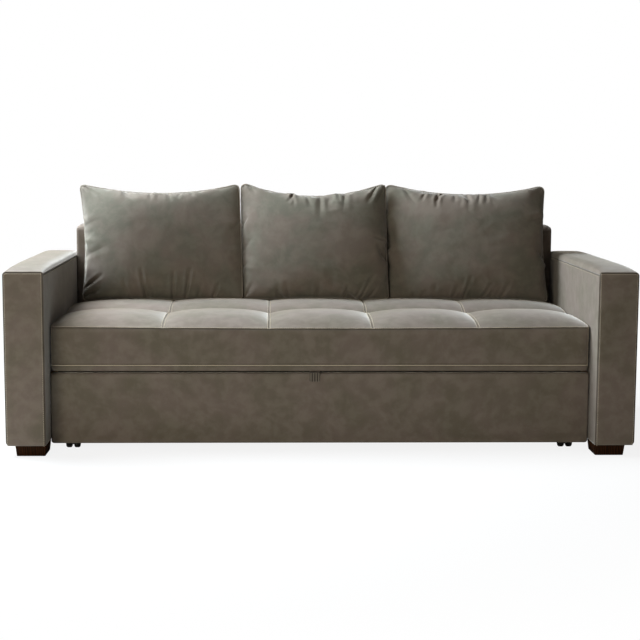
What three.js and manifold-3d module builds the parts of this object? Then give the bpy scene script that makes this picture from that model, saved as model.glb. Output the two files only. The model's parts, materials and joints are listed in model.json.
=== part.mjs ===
import * as THREE from "three";
import { mergeVertices } from "three/addons/utils/BufferGeometryUtils.js";
import Module from "manifold-3d";

// A three-seat sleeper sofa whose bed rolls out from under the seat on casters.
// Millimetres, +Z up, the sofa's front towards -Y, the origin on the floor under its middle.

const wasm = await Module();
wasm.setup();

// Sofa
const sofaWidth = 2260;
const sofaDepth = 980;
const restGap = 0.3;
const cutOverrun = 10;

// Feet: square blocks that taper towards the floor
const footHeight = 39;
const footSide = 112;
const footTaper = 4.5;
const footFrontInset = 12;

// Arms: padded covers over plywood boxes
const armWidth = 140;
const armTop = 668;
const armCrown = 4;
const armPad = 18;
const armTopInnerRadius = 9;
const armTopOuterRadius = 13;
const armBottomOuterRadius = 16;
const armFrontRadius = 7;
const armRearRadius = 48;
const armFrameWall = 15;
const armBlockHeight = 40;

// Back: a padded cover over a plywood box
const backThickness = 135;
const backTop = 789;
const backPad = 17;
const backEdgeRadius = 26;
const backEndRadius = 16;
const backFrameWall = 15;
const backSkirtLift = 5;

// Front panel of the pull-out bed
const panelSetback = 104;
const panelFloorGap = 27;
const panelSeatGap = 7;
const panelEndGap = 5;
const panelPad = 10;
const panelEdgeRadius = 9;

// Pull-out bed's frame
const boardThickness = 18;
const sideBoardGap = 22;
const sideBoardHeight = 158;
const bearerWidth = 70;
const bearerHeight = 34;
const centreBeamWidth = 40;
const bedRearGap = 25;

// Slats
const bedSlatCount = 8;
const bedSlatWidth = 62;
const slatThickness = 10;
const slatEdgeRadius = 3;
const seatSlatCount = 9;
const seatSlatWidth = 70;

// Mattress
const mattressThickness = 114;
const mattressCrown = 6;
const mattressEndGap = 5;
const mattressCornerRadius = 30;
const mattressEdgeInset = 7;

// Seat deck
const deckHeadroom = 7.4;
const deckRailHeight = 50;
const deckRailWidth = 22;
const deckFrontInset = 36;

// Seat cushion
const seatSeamHeight = 162.4;
const seatSag = 6;
const seatFrontCrown = 27;
const seatRearCrown = 12;
const seatFrontHump = 16;
const seatRearHump = 29;
const seatSideGap = 4;
const seatRearGap = 5;
const seatCornerRadius = 14;
const seatEdgeInset = 6;
const seatInnerSeamX = 190;
const seatOuterSeamX = 579;

// Back pillows: the outer two share the width that the middle one leaves
const middlePillowWidth = 588;
const pillowGap = 6;
const pillowEndGap = 41;
const pillowHeight = 481;
const pillowThickness = 176;
const pillowEdge = 7;
const pillowTopDip = 34;
const pillowSideDip = 24;
const pillowBottomDip = 8;
const pillowPress = 12;
const pillowSink = 10;
const pillowSettleReach = 24;

// Casters
const casterHeight = 61.7;
const wheelRadius = 25;
const wheelWidth = 20;
const wheelEdge = 3;
const wheelHubRadius = 11;
const wheelHubRecess = 2;
const wheelSideGap = 0.8;
const axleRadius = 3.5;
const forkThickness = 8;
const forkRadius = 12;
const forkPlateWidth = 52;
const forkPlateLength = 58;
const forkPlateThickness = 3;
const casterEndGap = 8;

// Guide rails and rollers
const railDepth = 15;
const railWall = 1.8;
const railMiddleZ = 165;
const railFrontInset = 5;
const rollerRadius = 14;
const rollerWidth = 12;
const rollerAxleRadius = 4;
const rollerEndInset = 20;

// Pull strap
const strapWidth = 38;
const strapThickness = 2.4;
const strapDrop = 32;
const strapX = -22;
const strapCornerRadius = 5;
const strapRibCount = 4;
const strapRibHeight = 1.2;
const strapTail = 36;
const strapPanelGap = 0.7;

// Clearance round anything that turns in a bore
const runningGap = 0.3;

// Turns, in degrees
const pillowLean = 12;
const pillowRoll = 1.3;

// Shares and powers of the soft forms
const seatRingShares = [0.94, 0.8, 0.5, 0.22, 0.13, 0.05, 0];
const seatInsetShares = [0.35, 0.08, 0, 0.25, 0.8, 0.35, 0.9];
const seatCellShares = [-1, -0.86, -0.55, 0, 0.55, 0.86];
const seatPuffPower = 3;
const seatSagPower = 2;
const seatEndPower = 8;
const crownPower = 4;
const mattressRingShares = [0.93, 0.75, 0.3, 0.08, 0];
const mattressInsetShares = [0.3, 0, 0, 0.3, 1];
const mattressCellShares = [-1, -0.9, -0.6, 0, 0.6, 0.9];
const pillowBodyShare = 0.56;
const pillowPower = 2.7;
const pillowSlumpShare = 0.12;
const pillowDipPower = 2;
const pillowRestShares = [-0.75, -0.5, -0.25, 0, 0.25, 0.5, 0.75];
const pillowColumns = 20;
const pillowRows = 14;
const settleSteps = 12;

// Steps of round shapes
const arcSegments = 5;
const slatSegments = 2;
const boreSides = 20;
const turnedSides = 20;
const strapRodSides = 12;
const footSides = 4;

// Places worked out from the sizes
const innerHalf = sofaWidth / 2 - armWidth;
const frontY = -sofaDepth / 2;
const rearY = sofaDepth / 2;
const armBottom = footHeight + restGap;
const backFront = rearY - backThickness;
const backFrameFront = backFront + backPad;

const panelFront = frontY + panelSetback;
const boardFront = panelFront + panelPad + restGap;
const boardRear = boardFront + boardThickness;
const panelHalf = innerHalf - panelEndGap;

const bedBottom = casterHeight + restGap;
const bearerTop = bedBottom + bearerHeight;
const bedSlatTop = bearerTop + restGap + slatThickness;
const mattressBottom = bedSlatTop + restGap;
const mattressTop = mattressBottom + mattressThickness + mattressCrown;
const sideBoardOuter = innerHalf - sideBoardGap;
const sideBoardInner = sideBoardOuter - boardThickness;
const rearBoardY = backFront - bedRearGap;
const rearBoardFront = rearBoardY - boardThickness;
const bedFront = boardRear + restGap;
const bedRear = rearBoardFront - restGap;
const bearerOuter = sideBoardInner - restGap;
const casterX = bearerOuter - bearerWidth / 2;
const casterFrontY = bedFront + casterEndGap + wheelRadius;
const casterRearY = bedRear - casterEndGap - wheelRadius;

const deckRailBottom = mattressTop + deckHeadroom;
const deckRailTop = deckRailBottom + deckRailHeight;
const deckFront = panelFront + deckFrontInset;
const deckRear = backFrameFront - restGap;
const deckRailOuter = innerHalf - restGap;
const deckRailInner = deckRailOuter - deckRailWidth;
const deckTop = deckRailTop + restGap + slatThickness;
const seatBottom = deckTop + restGap;
const seatSeamZ = seatBottom + seatSeamHeight;
const seatRear = backFront - seatRearGap;
const seatHalf = innerHalf - seatSideGap;
const seatMiddleY = (panelFront + seatRear) / 2;
const panelTop = seatBottom - panelSeatGap;

const railOuter = innerHalf - restGap;
const railHalfHeight = rollerRadius + runningGap + railWall;
const railFront = boardRear + railFrontInset;
const rollerY = rearBoardY - rollerEndInset;
const railRear = rollerY + rollerRadius + runningGap + railWall;
const rollerOuter = railOuter - railWall - 2 * runningGap;
const rollerInner = rollerOuter - rollerWidth;

const outerPillowWidth =
  innerHalf - pillowEndGap - pillowGap - middlePillowWidth / 2;
const outerPillowMiddle = (middlePillowWidth + outerPillowWidth) / 2 + pillowGap;

const strapHingeY = panelFront - strapPanelGap - strapThickness / 2;
const strapHingeZ = panelTop + restGap + strapThickness / 2;

// Finishes
function finish(color, roughness, metalness = 0) {
  return new THREE.MeshStandardMaterial({ color, roughness, metalness });
}
const upholstery = finish(0x6f675e, 0.9);
const pillowFabric = finish(0x67625b, 0.92);
const mattressFabric = finish(0xcfc9bf, 0.95);
const webbing = finish(0x4a443c, 0.85);
const plywood = finish(0xb99a6b, 0.7);
const beech = finish(0xc9a878, 0.6);
const footWood = finish(0x2b1d14, 0.45);
const railSteel = finish(0x9a9c9e, 0.35, 0.9);
const casterPlastic = finish(0x161616, 0.5);
const wheelRubber = finish(0x1d1d1d, 0.7);

// Solids for joins and cuts
function solidOf(geometry) {
  const bare = geometry.clone();
  bare.deleteAttribute("normal");
  bare.deleteAttribute("uv");
  const merged = mergeVertices(bare);
  return new wasm.Manifold(
    new wasm.Mesh({
      numProp: 3,
      vertProperties: merged.attributes.position.array,
      triVerts: new Uint32Array(merged.index.array),
    }),
  );
}

function geometryOf(solid) {
  const mesh = solid.getMesh();
  const geometry = new THREE.BufferGeometry();
  geometry.setAttribute("position", new THREE.BufferAttribute(mesh.vertProperties, 3));
  geometry.setIndex(new THREE.BufferAttribute(mesh.triVerts, 1));
  return geometry;
}

function common(first, ...others) {
  return geometryOf(others.reduce((made, g) => made.intersect(solidOf(g)), solidOf(first)));
}

function joined(first, ...others) {
  return geometryOf(others.reduce((made, g) => made.add(solidOf(g)), solidOf(first)));
}

function cut(first, ...others) {
  return geometryOf(others.reduce((made, g) => made.subtract(solidOf(g)), solidOf(first)));
}

// The mirror image across the sofa's middle plane, with its faces still pointing out.
function mirrored(geometry) {
  const loose = geometry.index ? geometry.toNonIndexed() : geometry.clone();
  const across = new THREE.Vector3(-1, 1, 1);
  const read = loose.attributes.position;
  const corner = (i) => new THREE.Vector3().fromBufferAttribute(read, i).multiply(across);
  const points = [];
  for (let i = 0; i < read.count; i += 3) {
    points.push(corner(i), corner(i + 2), corner(i + 1));
  }
  return new THREE.BufferGeometry().setFromPoints(points);
}

// Outlines and extrusions
function box(x0, x1, y0, y1, z0, z1) {
  const geometry = new THREE.BoxGeometry(x1 - x0, y1 - y0, z1 - z0);
  return geometry.translate((x0 + x1) / 2, (y0 + y1) / 2, (z0 + z1) / 2);
}

// A rectangle with its own radius at each corner, anticlockwise from low left, and a crowned top.
function roundedOutline(x0, x1, y0, y1, radii, crown = 0) {
  const [lowLeft, lowRight, highRight, highLeft] = radii;
  const quarter = Math.PI / 2;
  const shape = new THREE.Shape();
  shape.moveTo(x0 + lowLeft, y0);
  shape.lineTo(x1 - lowRight, y0);
  if (lowRight > 0) shape.absarc(x1 - lowRight, y0 + lowRight, lowRight, -quarter, 0);
  shape.lineTo(x1, y1 - highRight);
  if (highRight > 0) shape.absarc(x1 - highRight, y1 - highRight, highRight, 0, quarter);
  if (crown > 0) shape.quadraticCurveTo((x0 + x1) / 2, y1 + 2 * crown, x0 + highLeft, y1);
  else shape.lineTo(x0 + highLeft, y1);
  if (highLeft > 0) shape.absarc(x0 + highLeft, y1 - highLeft, highLeft, quarter, Math.PI);
  shape.lineTo(x0, y0 + lowLeft);
  if (lowLeft > 0) shape.absarc(x0 + lowLeft, y0 + lowLeft, lowLeft, Math.PI, 3 * quarter);
  return shape;
}

function extruded(shape, length, curveSegments) {
  return new THREE.ExtrudeGeometry(shape, { depth: length, bevelEnabled: false, curveSegments });
}

// A shape drawn in X and Z, carried along Y.
function alongY(shape, y0, y1, segments = arcSegments) {
  const turn = new THREE.Matrix4().makeBasis(
    new THREE.Vector3(1, 0, 0),
    new THREE.Vector3(0, 0, 1),
    new THREE.Vector3(0, -1, 0),
  );
  return extruded(shape, y1 - y0, segments).applyMatrix4(turn).translate(0, y1, 0);
}

// A shape drawn in Y and Z, carried along X.
function alongX(shape, x0, x1, segments = arcSegments) {
  const turn = new THREE.Matrix4().makeBasis(
    new THREE.Vector3(0, 1, 0),
    new THREE.Vector3(0, 0, 1),
    new THREE.Vector3(1, 0, 0),
  );
  return extruded(shape, x1 - x0, segments).applyMatrix4(turn).translate(x0, 0, 0);
}

// A shape drawn in X and Y, carried along Z.
function alongZ(shape, z0, z1) {
  return extruded(shape, z1 - z0, arcSegments).translate(0, 0, z0);
}

// A round rod or bore along X.
function rodAlongX(radius, x0, x1, y, z, sides = boreSides) {
  const rod = new THREE.CylinderGeometry(radius, radius, x1 - x0, sides);
  return rod.rotateZ(Math.PI / 2).translate((x0 + x1) / 2, y, z);
}

// A wheel-like solid turned about the X axis from (place along X, radius) points.
function turnedAboutX(points) {
  const profile = points.map(([along, radius]) => new THREE.Vector2(radius, along));
  return new THREE.LatheGeometry(profile, turnedSides).rotateZ(-Math.PI / 2);
}

// Soft forms

// Where a point of a rectangle goes when the rectangle's corners are rounded.
function roundedPoint(x, y, half, radius) {
  const overX = Math.abs(x) - (half.x - radius);
  const overY = Math.abs(y) - (half.y - radius);
  if (overX <= 0 || overY <= 0) return new THREE.Vector2(x, y);
  const pull = Math.max(overX, overY) / Math.hypot(overX, overY);
  return new THREE.Vector2(
    Math.sign(x) * (half.x - radius + overX * pull),
    Math.sign(y) * (half.y - radius + overY * pull),
  );
}

// The outward direction at a point on the edge of that rounded rectangle.
function outwardAt(point, half, radius) {
  const overX = Math.abs(point.x) - (half.x - radius);
  const overY = Math.abs(point.y) - (half.y - radius);
  if (overX > 0 && overY > 0) {
    return new THREE.Vector2(Math.sign(point.x) * overX, Math.sign(point.y) * overY).normalize();
  }
  if (overX > 0) return new THREE.Vector2(Math.sign(point.x), 0);
  return new THREE.Vector2(0, Math.sign(point.y));
}

// The vertex numbers round the edge of a grid, anticlockwise.
function edgeLoop(columns, rows) {
  const loop = [];
  const at = (i, j) => j * columns + i;
  for (let i = 0; i < columns - 1; i += 1) loop.push(at(i, 0));
  for (let j = 0; j < rows - 1; j += 1) loop.push(at(columns - 1, j));
  for (let i = columns - 1; i > 0; i -= 1) loop.push(at(i, rows - 1));
  for (let j = rows - 1; j > 0; j -= 1) loop.push(at(0, j));
  return loop;
}

// The two triangles of each cell of a grid, anticlockwise.
function gridTriangles(columns, rows, start = 0) {
  const triangles = [];
  for (let j = 0; j < rows - 1; j += 1) {
    for (let i = 0; i < columns - 1; i += 1) {
      const a = start + j * columns + i;
      triangles.push([a, a + 1, a + columns + 1], [a, a + columns + 1, a + columns]);
    }
  }
  return triangles;
}

// The band of triangles between two loops of the same length.
function bandTriangles(upper, lower) {
  return upper.flatMap((a, i) => {
    const next = (i + 1) % upper.length;
    return [
      [a, lower[i], lower[next]],
      [a, lower[next], upper[next]],
    ];
  });
}

function meshGeometry(points, triangles) {
  const geometry = new THREE.BufferGeometry().setFromPoints(points);
  geometry.setIndex(triangles.flat());
  return geometry;
}

// A box cushion: a crowned top on a grid, sides that swell between two seams, a flat underside.
function boxCushion({ xs, ys, half, cornerRadius, edgeInset, topAt, bottom, rings, insets }) {
  const points = [];
  for (const y of ys) {
    for (const x of xs) {
      const plan = roundedPoint(x, y, half, cornerRadius);
      const onEdge = x === xs[0] || x === xs.at(-1) || y === ys[0] || y === ys.at(-1);
      if (onEdge) plan.addScaledVector(outwardAt(plan, half, cornerRadius), -edgeInset);
      points.push(new THREE.Vector3(plan.x, plan.y, topAt(x, y)));
    }
  }
  const triangles = gridTriangles(xs.length, ys.length);
  const top = edgeLoop(xs.length, ys.length);
  let upper = top;
  rings.forEach((share, k) => {
    const lower = top.map((a) => {
      const x = xs[a % xs.length];
      const y = ys[Math.floor(a / xs.length)];
      const plan = roundedPoint(x, y, half, cornerRadius);
      plan.addScaledVector(outwardAt(plan, half, cornerRadius), -edgeInset * insets[k]);
      const height = bottom + (topAt(x, y) - bottom) * share;
      return points.push(new THREE.Vector3(plan.x, plan.y, height)) - 1;
    });
    triangles.push(...bandTriangles(upper, lower));
    upper = lower;
  });
  const middle = points.push(new THREE.Vector3(0, 0, bottom)) - 1;
  upper.forEach((a, i) => triangles.push([middle, upper[(i + 1) % upper.length], a]));
  return meshGeometry(points, triangles);
}

// Grid lines over cells between seams, the last seam included.
function cellLines(seams, shares) {
  const lines = seams.slice(1).flatMap((end, i) => {
    const start = seams[i];
    return shares.map((share) => (start + end) / 2 + (share * (end - start)) / 2);
  });
  return [...lines, seams.at(-1)];
}

// How far a place stands from the middle of its cell, from -1 to 1.
function placeInCell(value, seams) {
  const end = seams.findIndex((seam, i) => i > 0 && value <= seam);
  const last = end < 0 ? seams.length - 1 : end;
  const [low, high] = [seams[last - 1], seams[last]];
  return (2 * value - low - high) / (high - low);
}

// 1 in the middle of a span and 0 at its ends.
function swell(place, power) {
  return 1 - Math.min(1, Math.abs(place)) ** power;
}

const seatPlan = { x: seatHalf, y: (seatRear - panelFront) / 2 };
const seatSeamsX = [-seatHalf, -seatOuterSeamX, -seatInnerSeamX];
seatSeamsX.push(seatInnerSeamX, seatOuterSeamX, seatHalf);
const seatSeamsY = [-seatPlan.y, -seatMiddleY, seatPlan.y];

// The height of the seat's top, from its place across the seat and from the seat's middle. The
// seams between the columns rise in a hump over each row, and the filling rises above them. The
// front row, where people sit, has the lower seams and the rear row the flatter filling.
function seatTop(x, y) {
  const across = x / seatPlan.x;
  const along = y / seatPlan.y;
  const frontShare = Math.max(0, -along) ** seatSagPower;
  const sag = seatSag * swell(across, seatSagPower) * frontShare;
  const spread = swell(across, seatEndPower);
  const inFront = y < -seatMiddleY;
  const hump = (inFront ? seatFrontHump : seatRearHump) * spread;
  const crown = inFront ? seatFrontCrown : seatRearCrown;
  const puffX = swell(placeInCell(x, seatSeamsX), seatPuffPower);
  const puffY = swell(placeInCell(y, seatSeamsY), seatPuffPower);
  return seatSeamZ - sag + (hump + crown * puffX) * puffY;
}

function seatCushion() {
  return boxCushion({
    xs: cellLines(seatSeamsX, seatCellShares),
    ys: cellLines(seatSeamsY, seatCellShares),
    half: seatPlan,
    cornerRadius: seatCornerRadius,
    edgeInset: seatEdgeInset,
    topAt: seatTop,
    bottom: seatBottom,
    rings: seatRingShares,
    insets: seatInsetShares,
  });
}

const mattressFront = bedFront + mattressEndGap;
const mattressRear = bedRear - mattressEndGap;
const mattressPlan = {
  x: sideBoardInner - mattressEndGap,
  y: (mattressRear - mattressFront) / 2,
};

function mattress() {
  const { x, y } = mattressPlan;
  const rim = mattressBottom + mattressThickness;
  return boxCushion({
    xs: cellLines([-x, x], mattressCellShares),
    ys: cellLines([-y, y], mattressCellShares),
    half: mattressPlan,
    cornerRadius: mattressCornerRadius,
    edgeInset: mattressEdgeInset,
    topAt: (px, py) =>
      rim + mattressCrown * swell(px / x, crownPower) * swell(py / y, crownPower),
    bottom: mattressBottom,
    rings: mattressRingShares,
    insets: mattressInsetShares,
  });
}

// A knife-edge pillow that stands on the seat's highest places below it and leans on the back.
// It is flat where it is pressed against the back, and its lower edge follows the seat.
function pillow(width, middle) {
  const lean = new THREE.Euler(
    -THREE.MathUtils.degToRad(pillowLean),
    -THREE.MathUtils.degToRad(pillowRoll),
    0,
  );
  const middleY = backFront + pillowPress - pillowThickness / 2;
  const crests = pillowRestShares.map((share) =>
    seatTop(middle + (share * width) / 2, middleY - seatMiddleY),
  );
  const middleZ = Math.max(...crests) - pillowSink + pillowHeight / 2;
  const centre = new THREE.Vector3(middle, middleY, middleZ);
  const place = (i, count) => Math.sin((Math.PI / 2) * ((2 * i) / count - 1));
  const point = (s, t, face) => {
    const slump = t + pillowSlumpShare * swell(t, pillowDipPower);
    const body = (swell(s, pillowPower) * swell(slump, pillowPower)) ** pillowBodyShare;
    const depth = pillowEdge / 2 + ((pillowThickness - pillowEdge) / 2) * body;
    const topPull = (pillowTopDip * (1 + t)) / 2;
    const bottomPull = (pillowBottomDip * (1 - t)) / 2;
    const p = new THREE.Vector3(
      s * (width / 2 - pillowSideDip * swell(t, pillowDipPower)),
      face * depth,
      (t * pillowHeight) / 2 - (topPull - bottomPull) * swell(s, pillowDipPower),
    );
    p.applyEuler(lean).add(centre);
    p.y = Math.min(p.y, backFront - restGap);
    p.z = Math.max(p.z, seatTop(p.x, p.y - seatMiddleY) + restGap);
    return p;
  };
  const points = [];
  for (const face of [-1, 1]) {
    for (let j = 0; j <= pillowRows; j += 1) {
      for (let i = 0; i <= pillowColumns; i += 1) {
        points.push(point(place(i, pillowColumns), place(j, pillowRows), face));
      }
    }
  }
  const columns = pillowColumns + 1;
  const rows = pillowRows + 1;
  const front = gridTriangles(columns, rows);
  const rear = gridTriangles(columns, rows, columns * rows).map(([a, b, c]) => [a, c, b]);
  const loop = edgeLoop(columns, rows);
  const rim = bandTriangles(loop, loop.map((a) => a + columns * rows));
  return meshGeometry(points, [...front, ...rear, ...rim]);
}

// Lifts a soft piece by the least height at which it clears what carries it.
function settled(geometry, support) {
  const carrier = solidOf(support);
  const clears = (height) => {
    const raised = solidOf(geometry.clone().translate(0, 0, height));
    return raised.intersect(carrier).isEmpty();
  };
  let low = 0;
  let high = pillowSettleReach;
  for (let step = 0; step < settleSteps; step += 1) {
    const tried = (low + high) / 2;
    if (clears(tried)) high = tried;
    else low = tried;
  }
  return geometry.translate(0, 0, high + restGap);
}

// Arms, made for the right side
function armCover() {
  const outer = sofaWidth / 2;
  const frontView = roundedOutline(
    innerHalf,
    outer,
    armBottom,
    armTop,
    [0, armBottomOuterRadius, armTopOuterRadius, armTopInnerRadius],
    armCrown,
  );
  const plan = roundedOutline(innerHalf, outer, frontY, rearY, [
    armFrontRadius,
    armFrontRadius,
    armRearRadius,
    0,
  ]);
  const body = common(
    alongY(frontView, frontY - cutOverrun, rearY + cutOverrun),
    alongZ(plan, armBottom - cutOverrun, armTop + armCrown + cutOverrun),
  );
  const hollow = armCavityPlan(armPad);
  return cut(body, alongZ(hollow, armBottom - cutOverrun, armTop - armPad));
}

// The plan of the space inside an arm, a given depth in from its outside.
function armCavityPlan(depth) {
  return roundedOutline(
    innerHalf + depth,
    sofaWidth / 2 - depth,
    frontY + depth,
    rearY - depth,
    [0, 0, armRearRadius - depth, 0],
  );
}

function armFrame() {
  const wall = armPad + restGap;
  const top = armTop - wall;
  const outside = alongZ(armCavityPlan(wall), armBottom, top);
  const inside = alongZ(
    armCavityPlan(wall + armFrameWall),
    armBottom - cutOverrun,
    top - armFrameWall,
  );
  const blocks = [frontY, rearY].map((end) => {
    const inward = -Math.sign(end);
    const near = end + inward * (wall + armFrameWall / 2);
    const far = end + inward * (footFrontInset + footSide);
    return box(
      innerHalf + wall + armFrameWall / 2,
      sofaWidth / 2 - wall - armFrameWall / 2,
      Math.min(near, far),
      Math.max(near, far),
      armBottom,
      armBottom + armBlockHeight,
    );
  });
  const rounded = alongZ(armCavityPlan(wall), armBottom, armBottom + armBlockHeight);
  return joined(cut(outside, inside), ...blocks.map((block) => common(block, rounded)));
}

// A square frustum with its sole on the floor.
function foot() {
  const corner = (side) => side / Math.SQRT2;
  const frustum = new THREE.CylinderGeometry(
    corner(footSide),
    corner(footSide - 2 * footTaper),
    footHeight,
    footSides,
  );
  return frustum
    .rotateY(Math.PI / 4)
    .rotateX(Math.PI / 2)
    .translate(0, 0, footHeight / 2);
}

// Back
function backCover() {
  const half = innerHalf - restGap;
  const frontView = roundedOutline(-half, half, armBottom, backTop, [
    0,
    0,
    backEndRadius,
    backEndRadius,
  ]);
  const sideView = roundedOutline(backFront, rearY, armBottom, backTop, [
    0,
    0,
    backEdgeRadius,
    backEdgeRadius,
  ]);
  const body = common(
    alongY(frontView, backFront - cutOverrun, rearY + cutOverrun),
    alongX(sideView, -half - cutOverrun, half + cutOverrun),
  );
  const hollow = box(
    backPad - half,
    half - backPad,
    backFrameFront - restGap,
    rearY - backPad,
    armBottom - cutOverrun,
    backTop - backPad,
  );
  const skirt = box(
    -half - cutOverrun,
    half + cutOverrun,
    backFront - cutOverrun,
    backFrameFront,
    armBottom - cutOverrun,
    deckTop + backSkirtLift,
  );
  return cut(body, hollow, skirt);
}

function backFrame() {
  const half = innerHalf - 2 * restGap - backPad;
  const rear = rearY - backPad - restGap;
  const top = backTop - backPad - restGap;
  const outside = box(-half, half, backFrameFront, rear, armBottom, top);
  const inside = box(
    backFrameWall - half,
    half - backFrameWall,
    backFrameFront + backFrameWall,
    rear - backFrameWall,
    armBottom - cutOverrun,
    top - backFrameWall,
  );
  return cut(outside, inside);
}

// A slat with eased edges, its length along Y and its middle at x.
function seatSlat(x) {
  const r = slatEdgeRadius;
  const section = roundedOutline(
    x - seatSlatWidth / 2,
    x + seatSlatWidth / 2,
    deckRailTop + restGap,
    deckTop,
    [r, r, r, r],
  );
  return alongY(section, deckFront, deckRear, slatSegments);
}

function bedSlat(y) {
  const r = slatEdgeRadius;
  const section = roundedOutline(
    y - bedSlatWidth / 2,
    y + bedSlatWidth / 2,
    bearerTop + restGap,
    bedSlatTop,
    [r, r, r, r],
  );
  return alongX(section, restGap - sideBoardInner, sideBoardInner - restGap, slatSegments);
}

// Equally spaced middles of pieces between two ends, the outer pieces a margin inside.
function spread(count, low, high, width) {
  const room = (high - low - count * width) / (count + 1);
  return Array.from({ length: count }, (_, i) => low + room + width / 2 + i * (width + room));
}

// Pull-out bed
function panelCover() {
  const r = panelEdgeRadius;
  const frontView = roundedOutline(-panelHalf, panelHalf, panelFloorGap, panelTop, [r, r, r, r]);
  const sideView = roundedOutline(panelFront, boardRear, panelFloorGap, panelTop, [r, 0, 0, r]);
  const plan = roundedOutline(-panelHalf, panelHalf, panelFront, boardRear, [r, r, 0, 0]);
  const body = common(
    alongY(frontView, panelFront - cutOverrun, boardRear + cutOverrun),
    alongX(sideView, -panelHalf - cutOverrun, panelHalf + cutOverrun),
    alongZ(plan, panelFloorGap - cutOverrun, panelTop + cutOverrun),
  );
  const hollow = box(
    panelPad - panelHalf,
    panelHalf - panelPad,
    panelFront + panelPad,
    boardRear + cutOverrun,
    panelFloorGap + panelPad,
    panelTop - panelPad,
  );
  return cut(body, hollow);
}

function frontBoard() {
  const inset = panelPad + restGap;
  return box(
    inset - panelHalf,
    panelHalf - inset,
    boardFront,
    boardRear,
    panelFloorGap + inset,
    panelTop - inset,
  );
}

// Made for the right side, with the bore for the guide roller's axle.
function sideBoard() {
  const board = box(
    sideBoardInner,
    sideBoardOuter,
    bedFront,
    rearBoardY,
    bedBottom,
    bedBottom + sideBoardHeight,
  );
  const bore = rodAlongX(
    rollerAxleRadius + runningGap,
    sideBoardInner - cutOverrun,
    sideBoardOuter + cutOverrun,
    rollerY,
    railMiddleZ,
  );
  return cut(board, bore);
}

function bearer() {
  return box(bearerOuter - bearerWidth, bearerOuter, bedFront, bedRear, bedBottom, bearerTop);
}

// A guide rail for the right side: a channel open towards the bed and closed at both ends.
function guideRail() {
  const low = railMiddleZ - railHalfHeight;
  const high = railMiddleZ + railHalfHeight;
  const bar = box(railOuter - railDepth, railOuter, railFront, railRear, low, high);
  const groove = box(
    railOuter - railDepth - cutOverrun,
    railOuter - railWall,
    railFront + railWall,
    railRear - railWall,
    low + railWall,
    high - railWall,
  );
  return cut(bar, groove);
}

// A guide roller for the right side and the stub axle that it turns on.
function guideRoller() {
  const edge = wheelEdge / 2;
  const points = [
    [sideBoardInner, 0],
    [sideBoardInner, rollerAxleRadius],
    [rollerInner, rollerAxleRadius],
    [rollerInner, rollerRadius - edge],
    [rollerInner + edge, rollerRadius],
    [rollerOuter - edge, rollerRadius],
    [rollerOuter, rollerRadius - edge],
    [rollerOuter, 0],
  ];
  return turnedAboutX(points).translate(0, rollerY, railMiddleZ);
}

// Casters, made at the origin: the axle runs along X
function casterWheels() {
  const inner = forkThickness / 2 + wheelSideGap;
  const outer = inner + wheelWidth;
  const half = [
    [inner, axleRadius],
    [inner, wheelRadius - wheelEdge],
    [inner + wheelEdge, wheelRadius],
    [outer - wheelEdge, wheelRadius],
    [outer, wheelRadius - wheelEdge],
    [outer, wheelHubRadius + wheelHubRecess],
    [outer - wheelHubRecess, wheelHubRadius],
    [outer - wheelHubRecess, 0],
  ];
  const otherHalf = half.map(([along, radius]) => [-along, radius]).reverse();
  return turnedAboutX([...otherHalf, ...half]).translate(0, 0, wheelRadius);
}

function casterFork() {
  const plate = box(
    -forkPlateWidth / 2,
    forkPlateWidth / 2,
    -forkPlateLength / 2,
    forkPlateLength / 2,
    casterHeight - forkPlateThickness,
    casterHeight,
  );
  const web = new THREE.Shape();
  web.absarc(0, wheelRadius, forkRadius, -Math.PI, 0);
  web.lineTo(forkPlateLength / 2, casterHeight - forkPlateThickness / 2);
  web.lineTo(-forkPlateLength / 2, casterHeight - forkPlateThickness / 2);
  const blade = alongX(web, -forkThickness / 2, forkThickness / 2);
  const bore = rodAlongX(
    axleRadius + runningGap,
    -forkThickness / 2 - cutOverrun,
    forkThickness / 2 + cutOverrun,
    0,
    wheelRadius,
  );
  return cut(joined(plate, blade), bore);
}

// Pull strap: a flat tail over the panel and down behind it, and the ribbed tab in front
function strapAnchor() {
  const low = panelTop + restGap;
  const high = low + strapThickness;
  const front = strapHingeY + strapThickness / 2 + runningGap;
  const rear = boardRear + restGap + strapThickness;
  const section = new THREE.Shape();
  section.moveTo(front, low);
  section.lineTo(rear - strapThickness, low);
  section.lineTo(rear - strapThickness, low - strapTail);
  section.lineTo(rear, low - strapTail);
  section.lineTo(rear, high);
  section.lineTo(front, high);
  return alongX(section, strapX - strapWidth / 2, strapX + strapWidth / 2);
}

// The tab hangs from the hinge line at its origin.
function strapTab() {
  const half = strapWidth / 2;
  const thick = strapThickness / 2;
  const ribWidth = strapWidth / strapRibCount;
  const plan = new THREE.Shape();
  plan.moveTo(-half, thick);
  for (let rib = 0; rib < strapRibCount; rib += 1) {
    const start = rib * ribWidth - half;
    plan.lineTo(start, -thick);
    plan.quadraticCurveTo(start + ribWidth / 2, -thick - 2 * strapRibHeight, start + ribWidth, -thick);
  }
  plan.lineTo(half, thick);
  const r = strapCornerRadius;
  const face = roundedOutline(-half, half, -strapDrop, 0, [r, r, 0, 0]);
  const strip = common(
    alongZ(plan, -strapDrop - cutOverrun, 0),
    alongY(face, -cutOverrun, cutOverrun),
  );
  return joined(strip, rodAlongX(thick, -half, half, 0, 0, strapRodSides));
}

// Assembly
function piece(name, geometry, material, parent) {
  const mesh = new THREE.Mesh(geometry, material);
  mesh.name = name;
  parent.add(mesh);
  return mesh;
}

function group(parent, x = 0, y = 0, z = 0) {
  const made = new THREE.Group();
  made.position.set(x, y, z);
  parent.add(made);
  return made;
}

const sides = [
  { side: "left", sign: -1, on: mirrored },
  { side: "right", sign: 1, on: (geometry) => geometry },
];

const sofa = new THREE.Group();

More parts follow.
